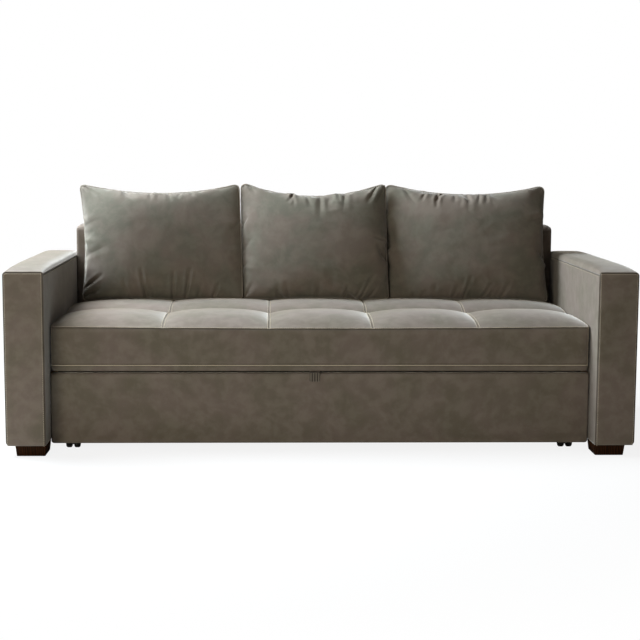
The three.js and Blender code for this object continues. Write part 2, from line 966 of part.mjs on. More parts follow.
function addArms() {
  const arms = group(sofa);
  const footX = innerHalf + footSide / 2;
  const footY = rearY - footFrontInset - footSide / 2;
  for (const { side, sign, on } of sides) {
    piece(`${side}_arm_cover`, on(armCover()), upholstery, arms);
    piece(`${side}_arm_frame`, on(armFrame()), plywood, arms);
    piece(`front_${side}_foot`, foot(), footWood, group(arms, sign * footX, -footY));
    piece(`rear_${side}_foot`, foot(), footWood, group(arms, sign * footX, footY));
  }
}

function addBack() {
  const back = group(sofa);
  piece("back_cover", backCover(), upholstery, back);
  piece("back_frame", backFrame(), plywood, back);
}

function addDeck() {
  const deck = group(sofa);
  const half = deckRailInner - restGap;
  const across = (y0, y1) => box(-half, half, y0, y1, deckRailBottom, deckRailTop);
  piece("deck_front_rail", across(deckFront, deckFront + deckRailWidth), plywood, deck);
  piece("deck_rear_rail", across(deckRear - deckRailWidth, deckRear), plywood, deck);
  const sideRail = box(
    deckRailInner,
    deckRailOuter,
    deckFront,
    deckRear,
    deckRailBottom,
    deckRailTop,
  );
  for (const { side, on } of sides) {
    piece(`deck_${side}_rail`, on(sideRail), plywood, deck);
    piece(`${side}_guide_rail`, on(guideRail()), railSteel, deck);
  }
  spread(seatSlatCount, -half, half, seatSlatWidth).forEach((x, i) => {
    piece(`seat_slat_${i + 1}`, seatSlat(x), beech, deck);
  });
}

function addCushions() {
  const seat = group(sofa, 0, seatMiddleY);
  piece("seat_cushion", seatCushion(), upholstery, seat);
  const carrier = seatCushion().translate(0, seatMiddleY, 0);
  const places = [
    ["left", outerPillowWidth, -outerPillowMiddle],
    ["middle", middlePillowWidth, 0],
    ["right", outerPillowWidth, outerPillowMiddle],
  ];
  for (const [place, width, middle] of places) {
    const made = settled(pillow(width, middle), carrier);
    piece(`${place}_pillow`, made, pillowFabric, sofa);
  }
}

function addBed() {
  const bed = group(sofa);
  piece("front_panel_cover", panelCover(), upholstery, bed);
  piece("bed_front_board", frontBoard(), plywood, bed);
  const rearBoard = box(
    restGap - sideBoardInner,
    sideBoardInner - restGap,
    rearBoardFront,
    rearBoardY,
    bedBottom,
    bedBottom + sideBoardHeight,
  );
  piece("bed_rear_board", rearBoard, plywood, bed);
  const beam = box(
    -centreBeamWidth / 2,
    centreBeamWidth / 2,
    bedFront,
    bedRear,
    bedBottom,
    bearerTop,
  );
  piece("bed_centre_beam", beam, plywood, bed);
  for (const { side, on } of sides) {
    piece(`bed_${side}_board`, on(sideBoard()), plywood, bed);
    piece(`bed_${side}_bearer`, on(bearer()), plywood, bed);
    piece(`${side}_guide_roller`, on(guideRoller()), casterPlastic, bed);
  }
  spread(bedSlatCount, bedFront, bedRear, bedSlatWidth).forEach((y, i) => {
    piece(`bed_slat_${i + 1}`, bedSlat(y), beech, bed);
  });
  const mattressPlace = group(bed, 0, (mattressFront + mattressRear) / 2);
  piece("bed_mattress", mattress(), mattressFabric, mattressPlace);
  piece("pull_strap_tail", strapAnchor(), webbing, bed);
  piece("pull_strap_tab", strapTab(), webbing, group(bed, strapX, strapHingeY, strapHingeZ));
}

function addCasters() {
  const ends = [
    ["front", casterFrontY],
    ["rear", casterRearY],
  ];
  for (const [end, y] of ends) {
    for (const { side, sign } of sides) {
      const caster = group(sofa, sign * casterX, y);
      piece(`${end}_${side}_caster_fork`, casterFork(), casterPlastic, caster);
      piece(`${end}_${side}_caster_wheels`, casterWheels(), wheelRubber, caster);
    }
  }
}

addArms();
addBack();
addDeck();
addCushions();
addBed();
addCasters();

export default sofa;
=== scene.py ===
"""Dresses a three-seat sleeper sofa: covers, cushions, stitching, bed and finishes."""

import json
import logging
import math
from collections.abc import Iterable, Sequence
from dataclasses import dataclass
from enum import Enum

import bpy
import numpy as np
from mathutils import Euler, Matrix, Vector
from mathutils.bvhtree import BVHTree

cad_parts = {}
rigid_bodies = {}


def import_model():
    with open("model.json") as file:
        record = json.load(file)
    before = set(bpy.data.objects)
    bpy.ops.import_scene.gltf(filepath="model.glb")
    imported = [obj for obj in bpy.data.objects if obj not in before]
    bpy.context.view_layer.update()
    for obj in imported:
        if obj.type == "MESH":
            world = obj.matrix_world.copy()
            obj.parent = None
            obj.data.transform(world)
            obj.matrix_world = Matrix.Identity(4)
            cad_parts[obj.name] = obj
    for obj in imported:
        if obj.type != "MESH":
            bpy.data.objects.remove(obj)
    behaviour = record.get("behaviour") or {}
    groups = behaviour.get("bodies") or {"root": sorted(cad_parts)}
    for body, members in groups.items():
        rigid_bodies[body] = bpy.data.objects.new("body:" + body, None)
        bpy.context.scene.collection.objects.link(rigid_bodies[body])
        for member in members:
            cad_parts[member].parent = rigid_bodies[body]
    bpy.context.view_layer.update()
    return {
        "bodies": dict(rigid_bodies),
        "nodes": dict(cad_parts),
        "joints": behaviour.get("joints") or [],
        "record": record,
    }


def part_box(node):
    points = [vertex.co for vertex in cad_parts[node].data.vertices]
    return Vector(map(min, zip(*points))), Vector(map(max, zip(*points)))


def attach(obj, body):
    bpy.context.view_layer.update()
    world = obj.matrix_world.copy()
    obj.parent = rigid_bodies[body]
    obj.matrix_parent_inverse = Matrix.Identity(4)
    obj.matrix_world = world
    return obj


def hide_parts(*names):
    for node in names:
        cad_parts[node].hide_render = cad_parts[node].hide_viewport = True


LOG = logging.getLogger("sleeper_sofa")
MM = 0.001
EXACT = 1e-5
WAVE_PERIOD = 0.314
# Each vertex's painted shade along seams, in rib valleys and beside corded edges, from 0 to 1
SEAM_SHADE_ATTRIBUTE = "Seam"
WEAR_ATTRIBUTE = "Wear"
LATTICE_ATTRIBUTE = "Lattice"
Socket = bpy.types.NodeSocket
Feed = Socket | float | Sequence[float]


class Side(Enum):
    """Which end of the sofa a piece belongs to, as the sign of its X."""

    LEFT = -1
    RIGHT = 1

    @property
    def word(self) -> str:
        """The side's name in node names."""
        return self.name.lower()


class Slot(Enum):
    """The record's material slots."""

    UPHOLSTERY = "upholstery"
    PILLOW = "pillow_fabric"
    TICKING = "mattress_ticking"
    WEBBING = "strap_webbing"
    PLYWOOD = "plywood"
    SLAT = "slat_wood"
    FOOT = "foot_wood"
    STEEL = "rail_steel"
    PLASTIC = "caster_plastic"
    RUBBER = "wheel_rubber"


# Colours and shader nodes


def linear(code: str) -> tuple[float, float, float, float]:
    """Turns an sRGB hex colour into linear light.

    Args:
        code: six hex digits, such as "6f675e".

    Returns:
        The colour as linear red, green, blue and an alpha of one.
    """
    parts = [int(code[i : i + 2], 16) / 255 for i in (0, 2, 4)]
    low, span, power = 0.04045, 12.92, 2.4
    straight = [p / span if p <= low else ((p + 0.055) / 1.055) ** power for p in parts]
    return (*straight, 1.0)


def add_node(
    tree: bpy.types.NodeTree, kind: str, inputs: dict[str | int, object] | None = None
) -> bpy.types.Node:
    """Adds one node with its settings and links.

    Args:
        tree: the tree that takes the node.
        kind: the node's type.
        inputs: by name or number, a value for the node's property or its input socket, or the
            output that feeds the socket.

    Returns:
        The new node.
    """
    node = tree.nodes.new(kind)
    for name, value in (inputs or {}).items():
        if isinstance(value, Socket):
            tree.links.new(value, node.inputs[name])
        elif isinstance(name, str) and hasattr(node, name):
            setattr(node, name, value)
        else:
            node.inputs[name].default_value = value
    return node


class ShaderSheet:
    """A new material and the nodes that every finish here starts from."""

    def __init__(self, name: str) -> None:
        """Starts the material under its name."""
        self.material = bpy.data.materials.new(name)
        self.material.use_nodes = True
        self.tree = self.material.node_tree
        self.tree.nodes.clear()
        self.place = self.add("TexCoord").outputs["Object"]

    def add(self, kind: str, inputs: dict | None = None) -> bpy.types.Node:
        """Adds a node, named without its ShaderNode, and returns it."""
        return add_node(self.tree, f"ShaderNode{kind}", inputs)

    def stretched(self, scale: Sequence[float], turn: Sequence[float] = (0, 0, 0)) -> Socket:
        """Gives the object's coordinates, turned by degrees and then scaled along each axis."""
        turned = {"Rotation": [math.radians(t) for t in turn], "Scale": list(scale)}
        return self.add("Mapping", {**turned, "Vector": self.place}).outputs["Vector"]

    def noise(
        self, size: float, detail: float = 2, rough: float = 0.5, place: Socket | None = None
    ) -> Socket:
        """Gives smooth noise from about 0 to 1.

        Args:
            size: the size of its patches in metres.
            detail: how many finer layers it holds.
            rough: how strong each finer layer is.
            place: the coordinates that it reads, or None for the object's.

        Returns:
            The output socket of the noise.
        """
        grain = {"Scale": 1 / size, "Detail": detail, "Roughness": rough}
        return self.add("TexNoise", {**grain, "Vector": place or self.place}).outputs["Fac"]

    def bands(
        self,
        scale: float,
        axis: str,
        bend: float,
        place: Socket | None = None,
        more: dict[str, float] | None = None,
    ) -> Socket:
        """Gives parallel bands from 0 to 1.

        Args:
            scale: WAVE_PERIOD over the bands' spacing in metres.
            axis: the direction across the bands.
            bend: how much they wander.
            place: the coordinates that they read, or None for the object's.
            more: further settings of the wave.

        Returns:
            The output socket of the bands.
        """
        wave = {"Scale": scale, "bands_direction": axis, "Distortion": bend, **(more or {})}
        return self.add("TexWave", {**wave, "Vector": place or self.place}).outputs["Fac"]

    def remap(
        self, value: Feed, low: float, high: float, to_low: float = 0, to_high: float = 1
    ) -> Socket:
        """Maps a value from one range to another, smoothly and within its ends."""
        ends = {"From Min": low, "From Max": high, "To Min": to_low, "To Max": to_high}
        smooth = {"interpolation_type": "SMOOTHSTEP", "Value": value}
        return self.add("MapRange", {**smooth, **ends}).outputs["Result"]

    def blend(self, share: Feed, first: Feed, second: Feed, how: str = "MIX") -> Socket:
        """Mixes a share of the second colour into the first; each is a value or a socket."""
        mix = {"data_type": "RGBA", "blend_type": how, 0: share, 6: first, 7: second}
        return self.add("Mix", mix).outputs[2]

    def sums(self, operation: str, first: Feed, second: Feed) -> Socket:
        """Works out one step of arithmetic on sockets or numbers."""
        return self.add("Math", {"operation": operation, 0: first, 1: second}).outputs[0]

    def shaded(self, colour: Feed, name: str, share: float, towards: str) -> Socket:
        """Takes a colour towards another where one of the piece's own attributes is high."""
        marked = self.add("Attribute", {"attribute_name": name}).outputs["Fac"]
        return self.blend(self.sums("MULTIPLY", marked, share), colour, linear(towards))

    def bump(
        self, height: Feed, depth: float, strength: float = 1.0, normal: Socket | None = None
    ) -> Socket:
        """Turns a height from 0 to 1 into a bump of a real depth in metres."""
        ways = {"Strength": strength, "Distance": depth, "Height": height}
        if normal is not None:
            ways["Normal"] = normal
        return self.add("Bump", ways).outputs["Normal"]

    def finish(self, looks: dict[str, Feed]) -> bpy.types.Material:
        """Ends the material with its surface.

        Args:
            looks: values for the surface shader's own sockets, and what varies on the surface.

        Returns:
            The finished material.
        """
        surface = self.add("BsdfPrincipled", looks)
        self.add("OutputMaterial", {"Surface": surface.outputs["BSDF"]})
        return self.material


# Finishes


@dataclass(frozen=True)
class SuedeMicrofibre:
    """Brushed suede-like microfibre: a short nap that is patched where hands have stroked it."""

    name: str
    deep: str
    base: str
    light: str
    patch: float = 130 * MM
    stroke: float = 42 * MM
    fibre: float = 1.6 * MM
    stroke_share: float = 0.2
    wear_share: float = 0.30
    # Painted shade along seams and beside the piping: how strong it is, and its colour
    seam_share: float = 0.82
    seam: str = "17130f"
    patch_range: tuple[float, float] = (0.34, 0.66)
    stroke_range: tuple[float, float] = (0.36, 0.68)
    speckle_range: tuple[float, float] = (0.94, 1.05)
    roughness_range: tuple[float, float] = (0.97, 0.82)
    drift: tuple[float, float, float] = (0.11, 0.07, 0.09)

    def material(self) -> bpy.types.Material:
        """Makes the cloth.

        The nap leans both ways, so its patches go from greenish grey to warm brown. Its
        fibres are 0.2 mm apart on the real cloth, and are drawn at 1.6 mm to show.

        Returns:
            The material.
        """
        sheet = ShaderSheet(self.name)
        drift = sheet.noise(self.patch * 1.7, 2, 0.5)
        bend = {"operation": "MULTIPLY_ADD", 0: drift, 1: self.drift, 2: sheet.place}
        bent = sheet.add("VectorMath", bend).outputs[0]
        patches = sheet.remap(sheet.noise(self.patch, 3, 0.55, bent), *self.patch_range)
        strokes = sheet.remap(sheet.noise(self.stroke, 3, 0.6, bent), *self.stroke_range)
        fibres = sheet.noise(self.fibre, 3, 0.75)
        cloth = sheet.blend(patches, linear(self.deep), linear(self.base))
        stroked = sheet.sums("MULTIPLY", strokes, self.stroke_share)
        cloth = sheet.blend(stroked, cloth, linear(self.light))
        speckle = sheet.remap(fibres, 0.25, 0.75, *self.speckle_range)
        cloth = sheet.blend(1.0, cloth, speckle, "MULTIPLY")
        cloth = sheet.shaded(cloth, WEAR_ATTRIBUTE, self.wear_share, self.light)
        # Darkens the cloth along seams and beside the piping: painted shade
        cloth = sheet.shaded(cloth, SEAM_SHADE_ATTRIBUTE, self.seam_share, self.seam)
        soft = sheet.bump(sheet.noise(24 * MM, 2, 0.5), 0.5 * MM, 0.5)
        return sheet.finish({
            "Sheen Weight": 0.8,
            "Sheen Roughness": 0.36,
            "Sheen Tint": linear("e4e2de"),
            "IOR": 1.45,
            "Specular IOR Level": 0.18,
            "Base Color": cloth,
            "Roughness": sheet.remap(strokes, 0, 1, *self.roughness_range),
            "Normal": sheet.bump(fibres, 0.2 * MM, 0.3, soft),
        })


@dataclass(frozen=True)
class SewingThread:
    """Twisted polyester topstitching thread, pale and a little shiny."""

    name: str
    colour: str
    shade: str = "a99c88"
    twist: float = 0.9 * MM

    def material(self) -> bpy.types.Material:
        """Makes the thread, whose plies show as fine slanting bands."""
        sheet = ShaderSheet(self.name)
        plies = sheet.bands(1 / self.twist, "DIAGONAL", 0.4)
        return sheet.finish({
            "Roughness": 0.6,
            "IOR": 1.5,
            "Sheen Weight": 0.1,
            "Base Color": sheet.blend(plies, linear(self.shade), linear(self.colour)),
            "Normal": sheet.bump(plies, 0.1 * MM, 0.5),
        })


@dataclass(frozen=True)
class WovenCloth:
    """A woven cloth or band, matt, whose warp and weft cross at the thread spacing."""

    name: str
    warp: str
    weft: str
    spacing: float
    depth: float
    # Colour of the painted shade in quilting lines and between ribs
    seam: str = "5b544a"
    seam_share: float = 0.6
    ribs: bool = False

    def material(self) -> bpy.types.Material:
        """Makes the weave on the object's X, Y and Z, so that it has one size on all sides."""
        sheet = ShaderSheet(self.name)
        axes = ("X", "Z") if self.ribs else ("X", "Y", "Z")
        rows = [sheet.bands(WAVE_PERIOD / self.spacing, axis, 0.15) for axis in axes]
        weave = rows[0]
        for row in rows[1:]:
            weave = sheet.sums("MULTIPLY", sheet.sums("ADD", weave, row), 0.5)
        soil = sheet.remap(sheet.noise(90 * MM, 4, 0.6), 0.3, 0.75, 0.9, 1.05)
        cloth = sheet.blend(weave, linear(self.weft), linear(self.warp))
        cloth = sheet.blend(1.0, cloth, soil, "MULTIPLY")
        return sheet.finish({
            "IOR": 1.45,
            "Sheen Weight": 0.15,
            "Sheen Roughness": 0.5,
            # Painted shade in the quilting lines and the rib valleys
            "Base Color": sheet.shaded(cloth, SEAM_SHADE_ATTRIBUTE, self.seam_share, self.seam),
            "Roughness": sheet.remap(weave, 0, 1, 0.95, 0.8),
            "Normal": sheet.bump(weave, self.depth, 0.8),
        })


@dataclass(frozen=True)
class SawnWood:
    """Wood: long growth streaks with fine pores along the grain, under its surface finish."""

    name: str
    dark: str
    pale: str
    grain: float
    along: tuple[float, float, float]
    roughness: float
    coat: float = 0.0
    layer: float = 0.0
    layers_across: str = "Z"
    gloss: float = 0.5

    def material(self) -> bpy.types.Material:
        """Makes the wood.

        Returns:
            The material: streaks are drawn out along the grain, pores are finer streaks, and
            plywood shows its layers of veneer across its thickness.
        """
        sheet = ShaderSheet(self.name)
        straight = sheet.stretched(self.along)
        streaks = sheet.noise(self.grain, 5, 0.6, sheet.stretched(self.along, (1.5, 1, 2)))
        detail = {"Detail": 3, "Detail Scale": 1.6}
        rings = sheet.bands(WAVE_PERIOD / self.grain, "X", 7, straight, detail)
        pores = sheet.noise(self.grain / 9, 2, 0.7, straight)
        figure = sheet.sums("MULTIPLY", sheet.sums("ADD", streaks, rings), 0.5)
        wood = sheet.blend(sheet.remap(figure, 0.2, 0.8), linear(self.dark), linear(self.pale))
        fine = sheet.remap(pores, 0.35, 0.65, 0.8, 1.08)
        wood = sheet.blend(1.0, wood, fine, "MULTIPLY")
        if self.layer > 0:
            plies = sheet.bands(WAVE_PERIOD / self.layer, self.layers_across, 0.3)
            wood = sheet.blend(1.0, wood, sheet.remap(plies, 0.3, 0.6, 0.86, 1.02), "MULTIPLY")
        return sheet.finish({
            "IOR": 1.5,
            "Specular IOR Level": self.gloss,
            "Coat Weight": self.coat,
            "Coat Roughness": 0.25,
            "Base Color": wood,
            "Roughness": sheet.remap(pores, 0.3, 0.7, self.roughness + 0.08, self.roughness),
            "Normal": sheet.bump(pores, 0.15 * MM, 0.5),
        })


@dataclass(frozen=True)
class ZincSteel:
    """Rolled steel with bright zinc plating: pale, faintly clouded, drawn along its length."""

    name: str = "zinc_plated_steel"

    def material(self) -> bpy.types.Material:
        """Makes the plating, clouded over centimetres and scratched along Y."""
        sheet = ShaderSheet(self.name)
        clouds = sheet.noise(22 * MM, 3, 0.6)
        lines = sheet.noise(1.2 * MM, 2, 0.6, sheet.stretched((1, 0.03, 1)))
        metal = sheet.blend(sheet.remap(clouds, 0.3, 0.7), linear("9da0a3"), linear("c4c6c8"))
        return sheet.finish({
            "Metallic": 1.0,
            "Base Color": metal,
            "Roughness": sheet.remap(lines, 0.3, 0.7, 0.28, 0.44),
            "Normal": sheet.bump(lines, 0.05 * MM, 0.4),
        })


@dataclass(frozen=True)
class MouldedPolymer:
    """Moulded nylon or rubber, dark, with the fine spark texture of its mould."""

    name: str
    colour: str
    dust: str
    roughness: float
    texture: float = 0.7 * MM

    def material(self) -> bpy.types.Material:
        """Makes the moulding, with dust in broad patches and a fine even texture."""
        sheet = ShaderSheet(self.name)
        dusty = sheet.remap(sheet.noise(14 * MM, 4, 0.65), 0.5, 0.8, 0, 0.5)
        grit = sheet.noise(self.texture, 2, 0.6)
        return sheet.finish({
            "IOR": 1.53,
            "Base Color": sheet.blend(dusty, linear(self.colour), linear(self.dust)),
            "Roughness": sheet.remap(grit, 0.3, 0.7, self.roughness, self.roughness + 0.15),
            "Normal": sheet.bump(grit, 0.08 * MM, 0.5),
        })


@dataclass
class FinishBook:
    """Every finish of the sofa, each made once."""

    def __post_init__(self) -> None:
        """Makes the materials."""
        self.upholstery = SuedeMicrofibre(
            "suede_microfibre_upholstery", "6a6357", "736860", "958c81", 165 * MM
        ).material()
        self.pillow = SuedeMicrofibre(
            "suede_microfibre_pillow", "69675d", "746b63", "8f887d", 120 * MM
        ).material()
        # The cord's suede is paler than the pillow's: a painted highlight along the round cord
        self.piping = SuedeMicrofibre(
            "suede_microfibre_piping", "8c857a", "989085", "aaa297"
        ).material()
        self.thread = SewingThread("polyester_topstitch_thread", "dccfb8").material()
        self.ticking = WovenCloth(
            "cotton_mattress_ticking", "ded9cf", "c4bdb0", 1.6 * MM, 0.3 * MM
        ).material()
        # The webbing's near-black 110d09 is painted shade in the valleys between its ribs
        self.webbing = WovenCloth(
            "polypropylene_strap_webbing",
            "8a8174",
            "6a6156",
            1.5 * MM,
            0.4 * MM,
            "110d09",
            0.96,
            ribs=True,
        ).material()
        # A near-black cloth that stands in for the shade in the gap under the seat
        self.dust_cloth = WovenCloth(
            "black_dust_cloth", "0c0b0a", "14120f", 1.2 * MM, 0.2 * MM
        ).material()
        self.boards: dict[str, bpy.types.Material] = {}
        self.foot = SawnWood(
            "stained_beech_foot", "1a0c02", "3a1d06", 7 * MM, (1, 1, 0.14), 0.7, gloss=0.12
        ).material()
        self.steel = ZincSteel().material()
        self.nylon = MouldedPolymer("caster_nylon", "0f0f10", "2b2926", 0.42).material()
        self.rubber = MouldedPolymer("wheel_rubber", "151515", "35322e", 0.68).material()

    def by_slot(self) -> dict[str, bpy.types.Material]:
        """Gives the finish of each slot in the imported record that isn't a board's."""
        return {
            Slot.UPHOLSTERY.value: self.upholstery,
            Slot.PILLOW.value: self.pillow,
            Slot.TICKING.value: self.ticking,
            Slot.WEBBING.value: self.webbing,
            Slot.FOOT.value: self.foot,
            Slot.STEEL.value: self.steel,
            Slot.PLASTIC.value: self.nylon,
            Slot.RUBBER.value: self.rubber,
        }

    def board(self, slot: str, size: np.ndarray) -> bpy.types.Material:
        """Gives the wood of a board or slat, with its grain along its longest side.

        Args:
            slot: the record's slot, which is plywood or slat wood.
            size: the board's size along X, Y and Z.

        Returns:
            The material, made once for each way that a board can lie.
        """
        long, thin = int(size.argmax()), int(size.argmin())
        name = f"{slot}_{'xyz'[long]}{'xyz'[thin]}"
        if name not in self.boards:
            along = tuple(0.14 if axis == long else 1.0 for axis in range(3))
            if slot == Slot.PLYWOOD.value:
                wood = SawnWood(
                    f"birch_plywood_{name[-2:]}",
                    "b4966a",
                    "ccb185",
                    9 * MM,
                    along,
                    0.6,
                    layer=2.6 * MM,
                    layers_across="XYZ"[thin],
                )
            else:
                wood = SawnWood(
                    f"bent_beech_slat_{name[-2:]}", "b08a5c", "d4b484", 8 * MM, along, 0.48, 0.15
                )
            self.boards[name] = wood.material()
        return self.boards[name]


# Meshes


def read_vectors(collection: bpy.types.bpy_prop_collection, name: str) -> np.ndarray:
    """Reads a vector property of every item, such as the vertices' co."""
    values = np.zeros(len(collection) * 3, np.float32)
    collection.foreach_get(name, values)
    return values.reshape(-1, 3).astype(float)


def store(mesh: bpy.types.Mesh, name: str, values: np.ndarray) -> None:
    """Keeps a number or a vector for each vertex.

    Args:
        mesh: the mesh.
        name: the attribute's name.
        values: one row for each vertex.
    """
    vector = values.ndim == 2
    kind = "FLOAT_VECTOR" if vector else "FLOAT"
    layer = mesh.attributes.get(name) or mesh.attributes.new(name, kind, "POINT")
    layer.data.foreach_set("vector" if vector else "value", values.astype(np.float32).ravel())


def stored(mesh: bpy.types.Mesh, name: str) -> np.ndarray:
    """Reads back a vector kept for each vertex."""
    return read_vectors(mesh.attributes[name].data, "vector")


def make_piece(
    name: str,
    points: np.ndarray,
    faces: Iterable[Sequence[int]],
    material: bpy.types.Material | None = None,
) -> bpy.types.Object:
    """Makes a smooth mesh object at the origin.

    Args:
        name: the piece's name.
        points: its vertices in metres.
        faces: vertex numbers of each face, anticlockwise from outside.
        material: its finish.

    Returns:
        The new object.
    """
    mesh = bpy.data.meshes.new(name)
    mesh.from_pydata(np.asarray(points).tolist(), [], [list(map(int, f)) for f in faces])
    mesh.shade_smooth()
    if material is not None:
        mesh.materials.append(material)
    piece = bpy.data.objects.new(name, mesh)
    bpy.context.scene.collection.objects.link(piece)
    return piece


def set_points(piece: bpy.types.Object, points: np.ndarray) -> None:
    """Moves every vertex of a piece."""
    piece.data.vertices.foreach_set("co", points.astype(np.float32).ravel())
    piece.data.update()


def bake(piece: bpy.types.Object) -> None:
    """Turns the result of a piece's modifiers into its own mesh and removes them."""
    graph = bpy.context.evaluated_depsgraph_get()
    made = bpy.data.meshes.new_from_object(
        piece.evaluated_get(graph), preserve_all_data_layers=True, depsgraph=graph
    )
    old = piece.data
    piece.modifiers.clear()
    piece.data = made
    made.name = piece.name
    if old.users == 0:
        bpy.data.meshes.remove(old)


def subdivide(piece: bpy.types.Object, levels: int = 1) -> None:
    """Smooths a piece by subdivision and keeps the result."""
    surface = piece.modifiers.new("Subdivision", "SUBSURF")
    surface.levels = surface.render_levels = levels
    bake(piece)


def ripple(points: np.ndarray, seed: int, wavelength: float, waves: int = 10) -> np.ndarray:
    """Gives smooth seeded waviness of about -1 to 1 at each point.

    Args:
        points: places in metres.
        seed: what fixes the pattern.
        wavelength: the middle length of its waves in metres.
        waves: how many waves are added up.

    Returns:
        One height for each point.
    """
    dice = np.random.default_rng(seed)
    ways = dice.normal(size=(waves, 3))
    ways /= np.linalg.norm(ways, axis=1, keepdims=True)
    ways *= 2 * math.pi / (wavelength * dice.uniform(0.65, 1.6, (waves, 1)))
    phases = dice.uniform(0, 2 * math.pi, waves)
    return np.sin(points @ ways.T + phases).sum(axis=1) / math.sqrt(waves)


def swell(place: np.ndarray, power: float) -> np.ndarray:
    """Gives 1 in the middle of a span and 0 at its ends, which are at -1 and 1."""
    return 1 - np.minimum(1, np.abs(place)) ** power


def place_in_span(values: np.ndarray, marks: Sequence[float]) -> np.ndarray:
    """Gives how far each value stands from the middle of its own span, from -1 to 1."""
    ends = np.asarray(marks)
    span = np.clip(np.searchsorted(ends, values, side="left") - 1, 0, len(ends) - 2)
    low, high = ends[span], ends[span + 1]
    return (2 * values - low - high) / (high - low)


def spread_lines(low: float, high: float, step: float, marks: Iterable[float]) -> np.ndarray:
    """Lays lines over a span: one on each mark, and even ones between.

    Args:
        low: the first line.
        high: the last line.
        step: the widest gap between lines.
        marks: places that get a line of their own.

    Returns:
        The lines' places in order.
    """
    inside = sorted(m for m in marks if low + EXACT < m < high - EXACT)
    kept = [low]
    for mark in inside:
        if mark - kept[-1] > 4 * EXACT:
            kept.append(mark)
    kept.append(high)
    lines: list[float] = []
    for start, end in zip(kept, kept[1:]):
        count = max(1, math.ceil((end - start) / step - 1e-6))
        lines += [start + (end - start) * i / count for i in range(count)]
    return np.array([*lines, high])


def corner_marks(edge: float, radius: float, inward: int, steps: int = 4) -> list[float]:
    """Gives the marks that make a rounded corner's arc even.

    Args:
        edge: where the square edge stands.
        radius: the arc's radius.
        inward: 1 where the piece lies above the edge and -1 below it.
        steps: how many faces a half of the arc has.

    Returns:
        The marks, from the edge inwards.
    """
    turns = [math.pi / 4 * (1 - i / steps) for i in range(steps + 1)]
    return [edge + inward * radius * (1 - math.tan(t)) for t in turns]


def end_marks(low: float, high: float, radius: float, steps: int = 4) -> list[float]:
    """Gives the marks of a span that has the same rounded corner at both ends."""
    return [*corner_marks(low, radius, 1, steps), *corner_marks(high, radius, -1, steps)]


def all_four(radius: float) -> dict[tuple[int, int], float]:
    """Gives the four edges along an axis the same radius."""
    return {(s, t): radius for s in (-1, 1) for t in (-1, 1)}


def beside(places: Iterable[float], gaps: Sequence[float]) -> list[float]:
    """Gives marks on each place and at each gap on both sides of it."""
    return [p + s * g for p in places for g in (0.0, *gaps) for s in (-1, 1)]


@dataclass(frozen=True)
class Rounding:
    """Rounds the four edges of a box that run along one axis.

    The radii go by each edge's side, -1 or 1, on the two axes across it.
    """

    across: tuple[int, int]
    low: Sequence[float]
    high: Sequence[float]
    radii: dict[tuple[int, int], float]

    def apply(self, points: np.ndarray) -> None:
        """Pulls the points near each edge onto its arc.

        Args:
            points: the points, which are changed in place.
        """
        a, b = self.across
        for (sa, sb), radius in self.radii.items():
            if radius <= 0:
                continue
            centre_a = (self.high[a] if sa > 0 else self.low[a]) - sa * radius
            centre_b = (self.high[b] if sb > 0 else self.low[b]) - sb * radius
            over_a = sa * (points[:, a] - centre_a)
            over_b = sb * (points[:, b] - centre_b)
            near = (over_a > 0) & (over_b > 0)
            reach = np.hypot(over_a[near], over_b[near])
            pull = np.maximum(over_a[near], over_b[near]) / np.maximum(reach, 1e-12)
            points[near, a] = centre_a + sa * over_a[near] * pull
            points[near, b] = centre_b + sb * over_b[near] * pull


@dataclass(frozen=True)
class LatticeSeam:
    """A straight seam on a lattice: two coordinates stay and the third runs."""

    fixed: tuple[tuple[int, float], tuple[int, float]]
    run: tuple[float, float]
    # How dark the seam's painted shade is; it also sets how deep the groove is drawn
    dark: float = 1.0

    @property
    def axis(self) -> int:
        """The axis that the seam runs along."""
        return 3 - self.fixed[0][0] - self.fixed[1][0]

    def distance(self, lattice: np.ndarray) -> np.ndarray:
        """Gives how far each lattice point lies from the seam."""
        along = lattice[:, self.axis]
        over = np.maximum(0, np.maximum(self.run[0] - along, along - self.run[1]))
        squares = [(lattice[:, axis] - value) ** 2 for axis, value in self.fixed]
        return np.sqrt(sum(squares) + over**2)


def seam(run: tuple[float, float], dark: float = 1.0, **at: float) -> LatticeSeam:
    """Gives the seam that stays at two of x, y and z and runs along the third.

    Args:
        run: where it starts and ends along its own axis.
        dark: how dark its painted shade is, from 0 to 1.
        at: the two places that stay, by axis name.

    Returns:
        The seam.
    """
    first, second = (("xyz".index(axis), place) for axis, place in at.items())
    return LatticeSeam((first, second), run, dark)


@dataclass
class LatticeBox:
    """A box surface laid out on three sets of lines, so that seams get fine ones.

    One of its sides may be left open, as (axis, -1 or 1).
    """

    lines: tuple[np.ndarray, np.ndarray, np.ndarray]
    open_side: tuple[int, int] | None = None

    def surface(self) -> tuple[np.ndarray, np.ndarray]:
        """Lays out the box.

        Returns:
            The lattice points and the quads between them, facing outwards.
        """
        counts = [len(line) for line in self.lines]
        index = np.indices(counts)
        at_end = [(index[a] == 0) | (index[a] == counts[a] - 1) for a in range(3)]
        skin = at_end[0] | at_end[1] | at_end[2]
        if self.open_side:
            axis, sign = self.open_side
            others = [at_end[a] for a in range(3) if a != axis]
            plane = index[axis] == (0 if sign < 0 else counts[axis] - 1)
            skin &= ~plane | others[0] | others[1]
        number = np.full(counts, -1)
        number[skin] = np.arange(int(skin.sum()))
        points = np.stack([self.lines[a][index[a][skin]] for a in range(3)], axis=1)
        quads = []
        for axis in range(3):
            for sign in (-1, 1):
                if self.open_side == (axis, sign):
                    continue
                side = np.take(number, 0 if sign < 0 else -1, axis=axis)
                ring = (side[:-1, :-1], side[1:, :-1], side[1:, 1:], side[:-1, 1:])
                made = np.stack(ring, axis=-1).reshape(-1, 4)
                quads.append(made if (axis != 1) == (sign > 0) else made[:, ::-1])
        return points, np.concatenate(quads)


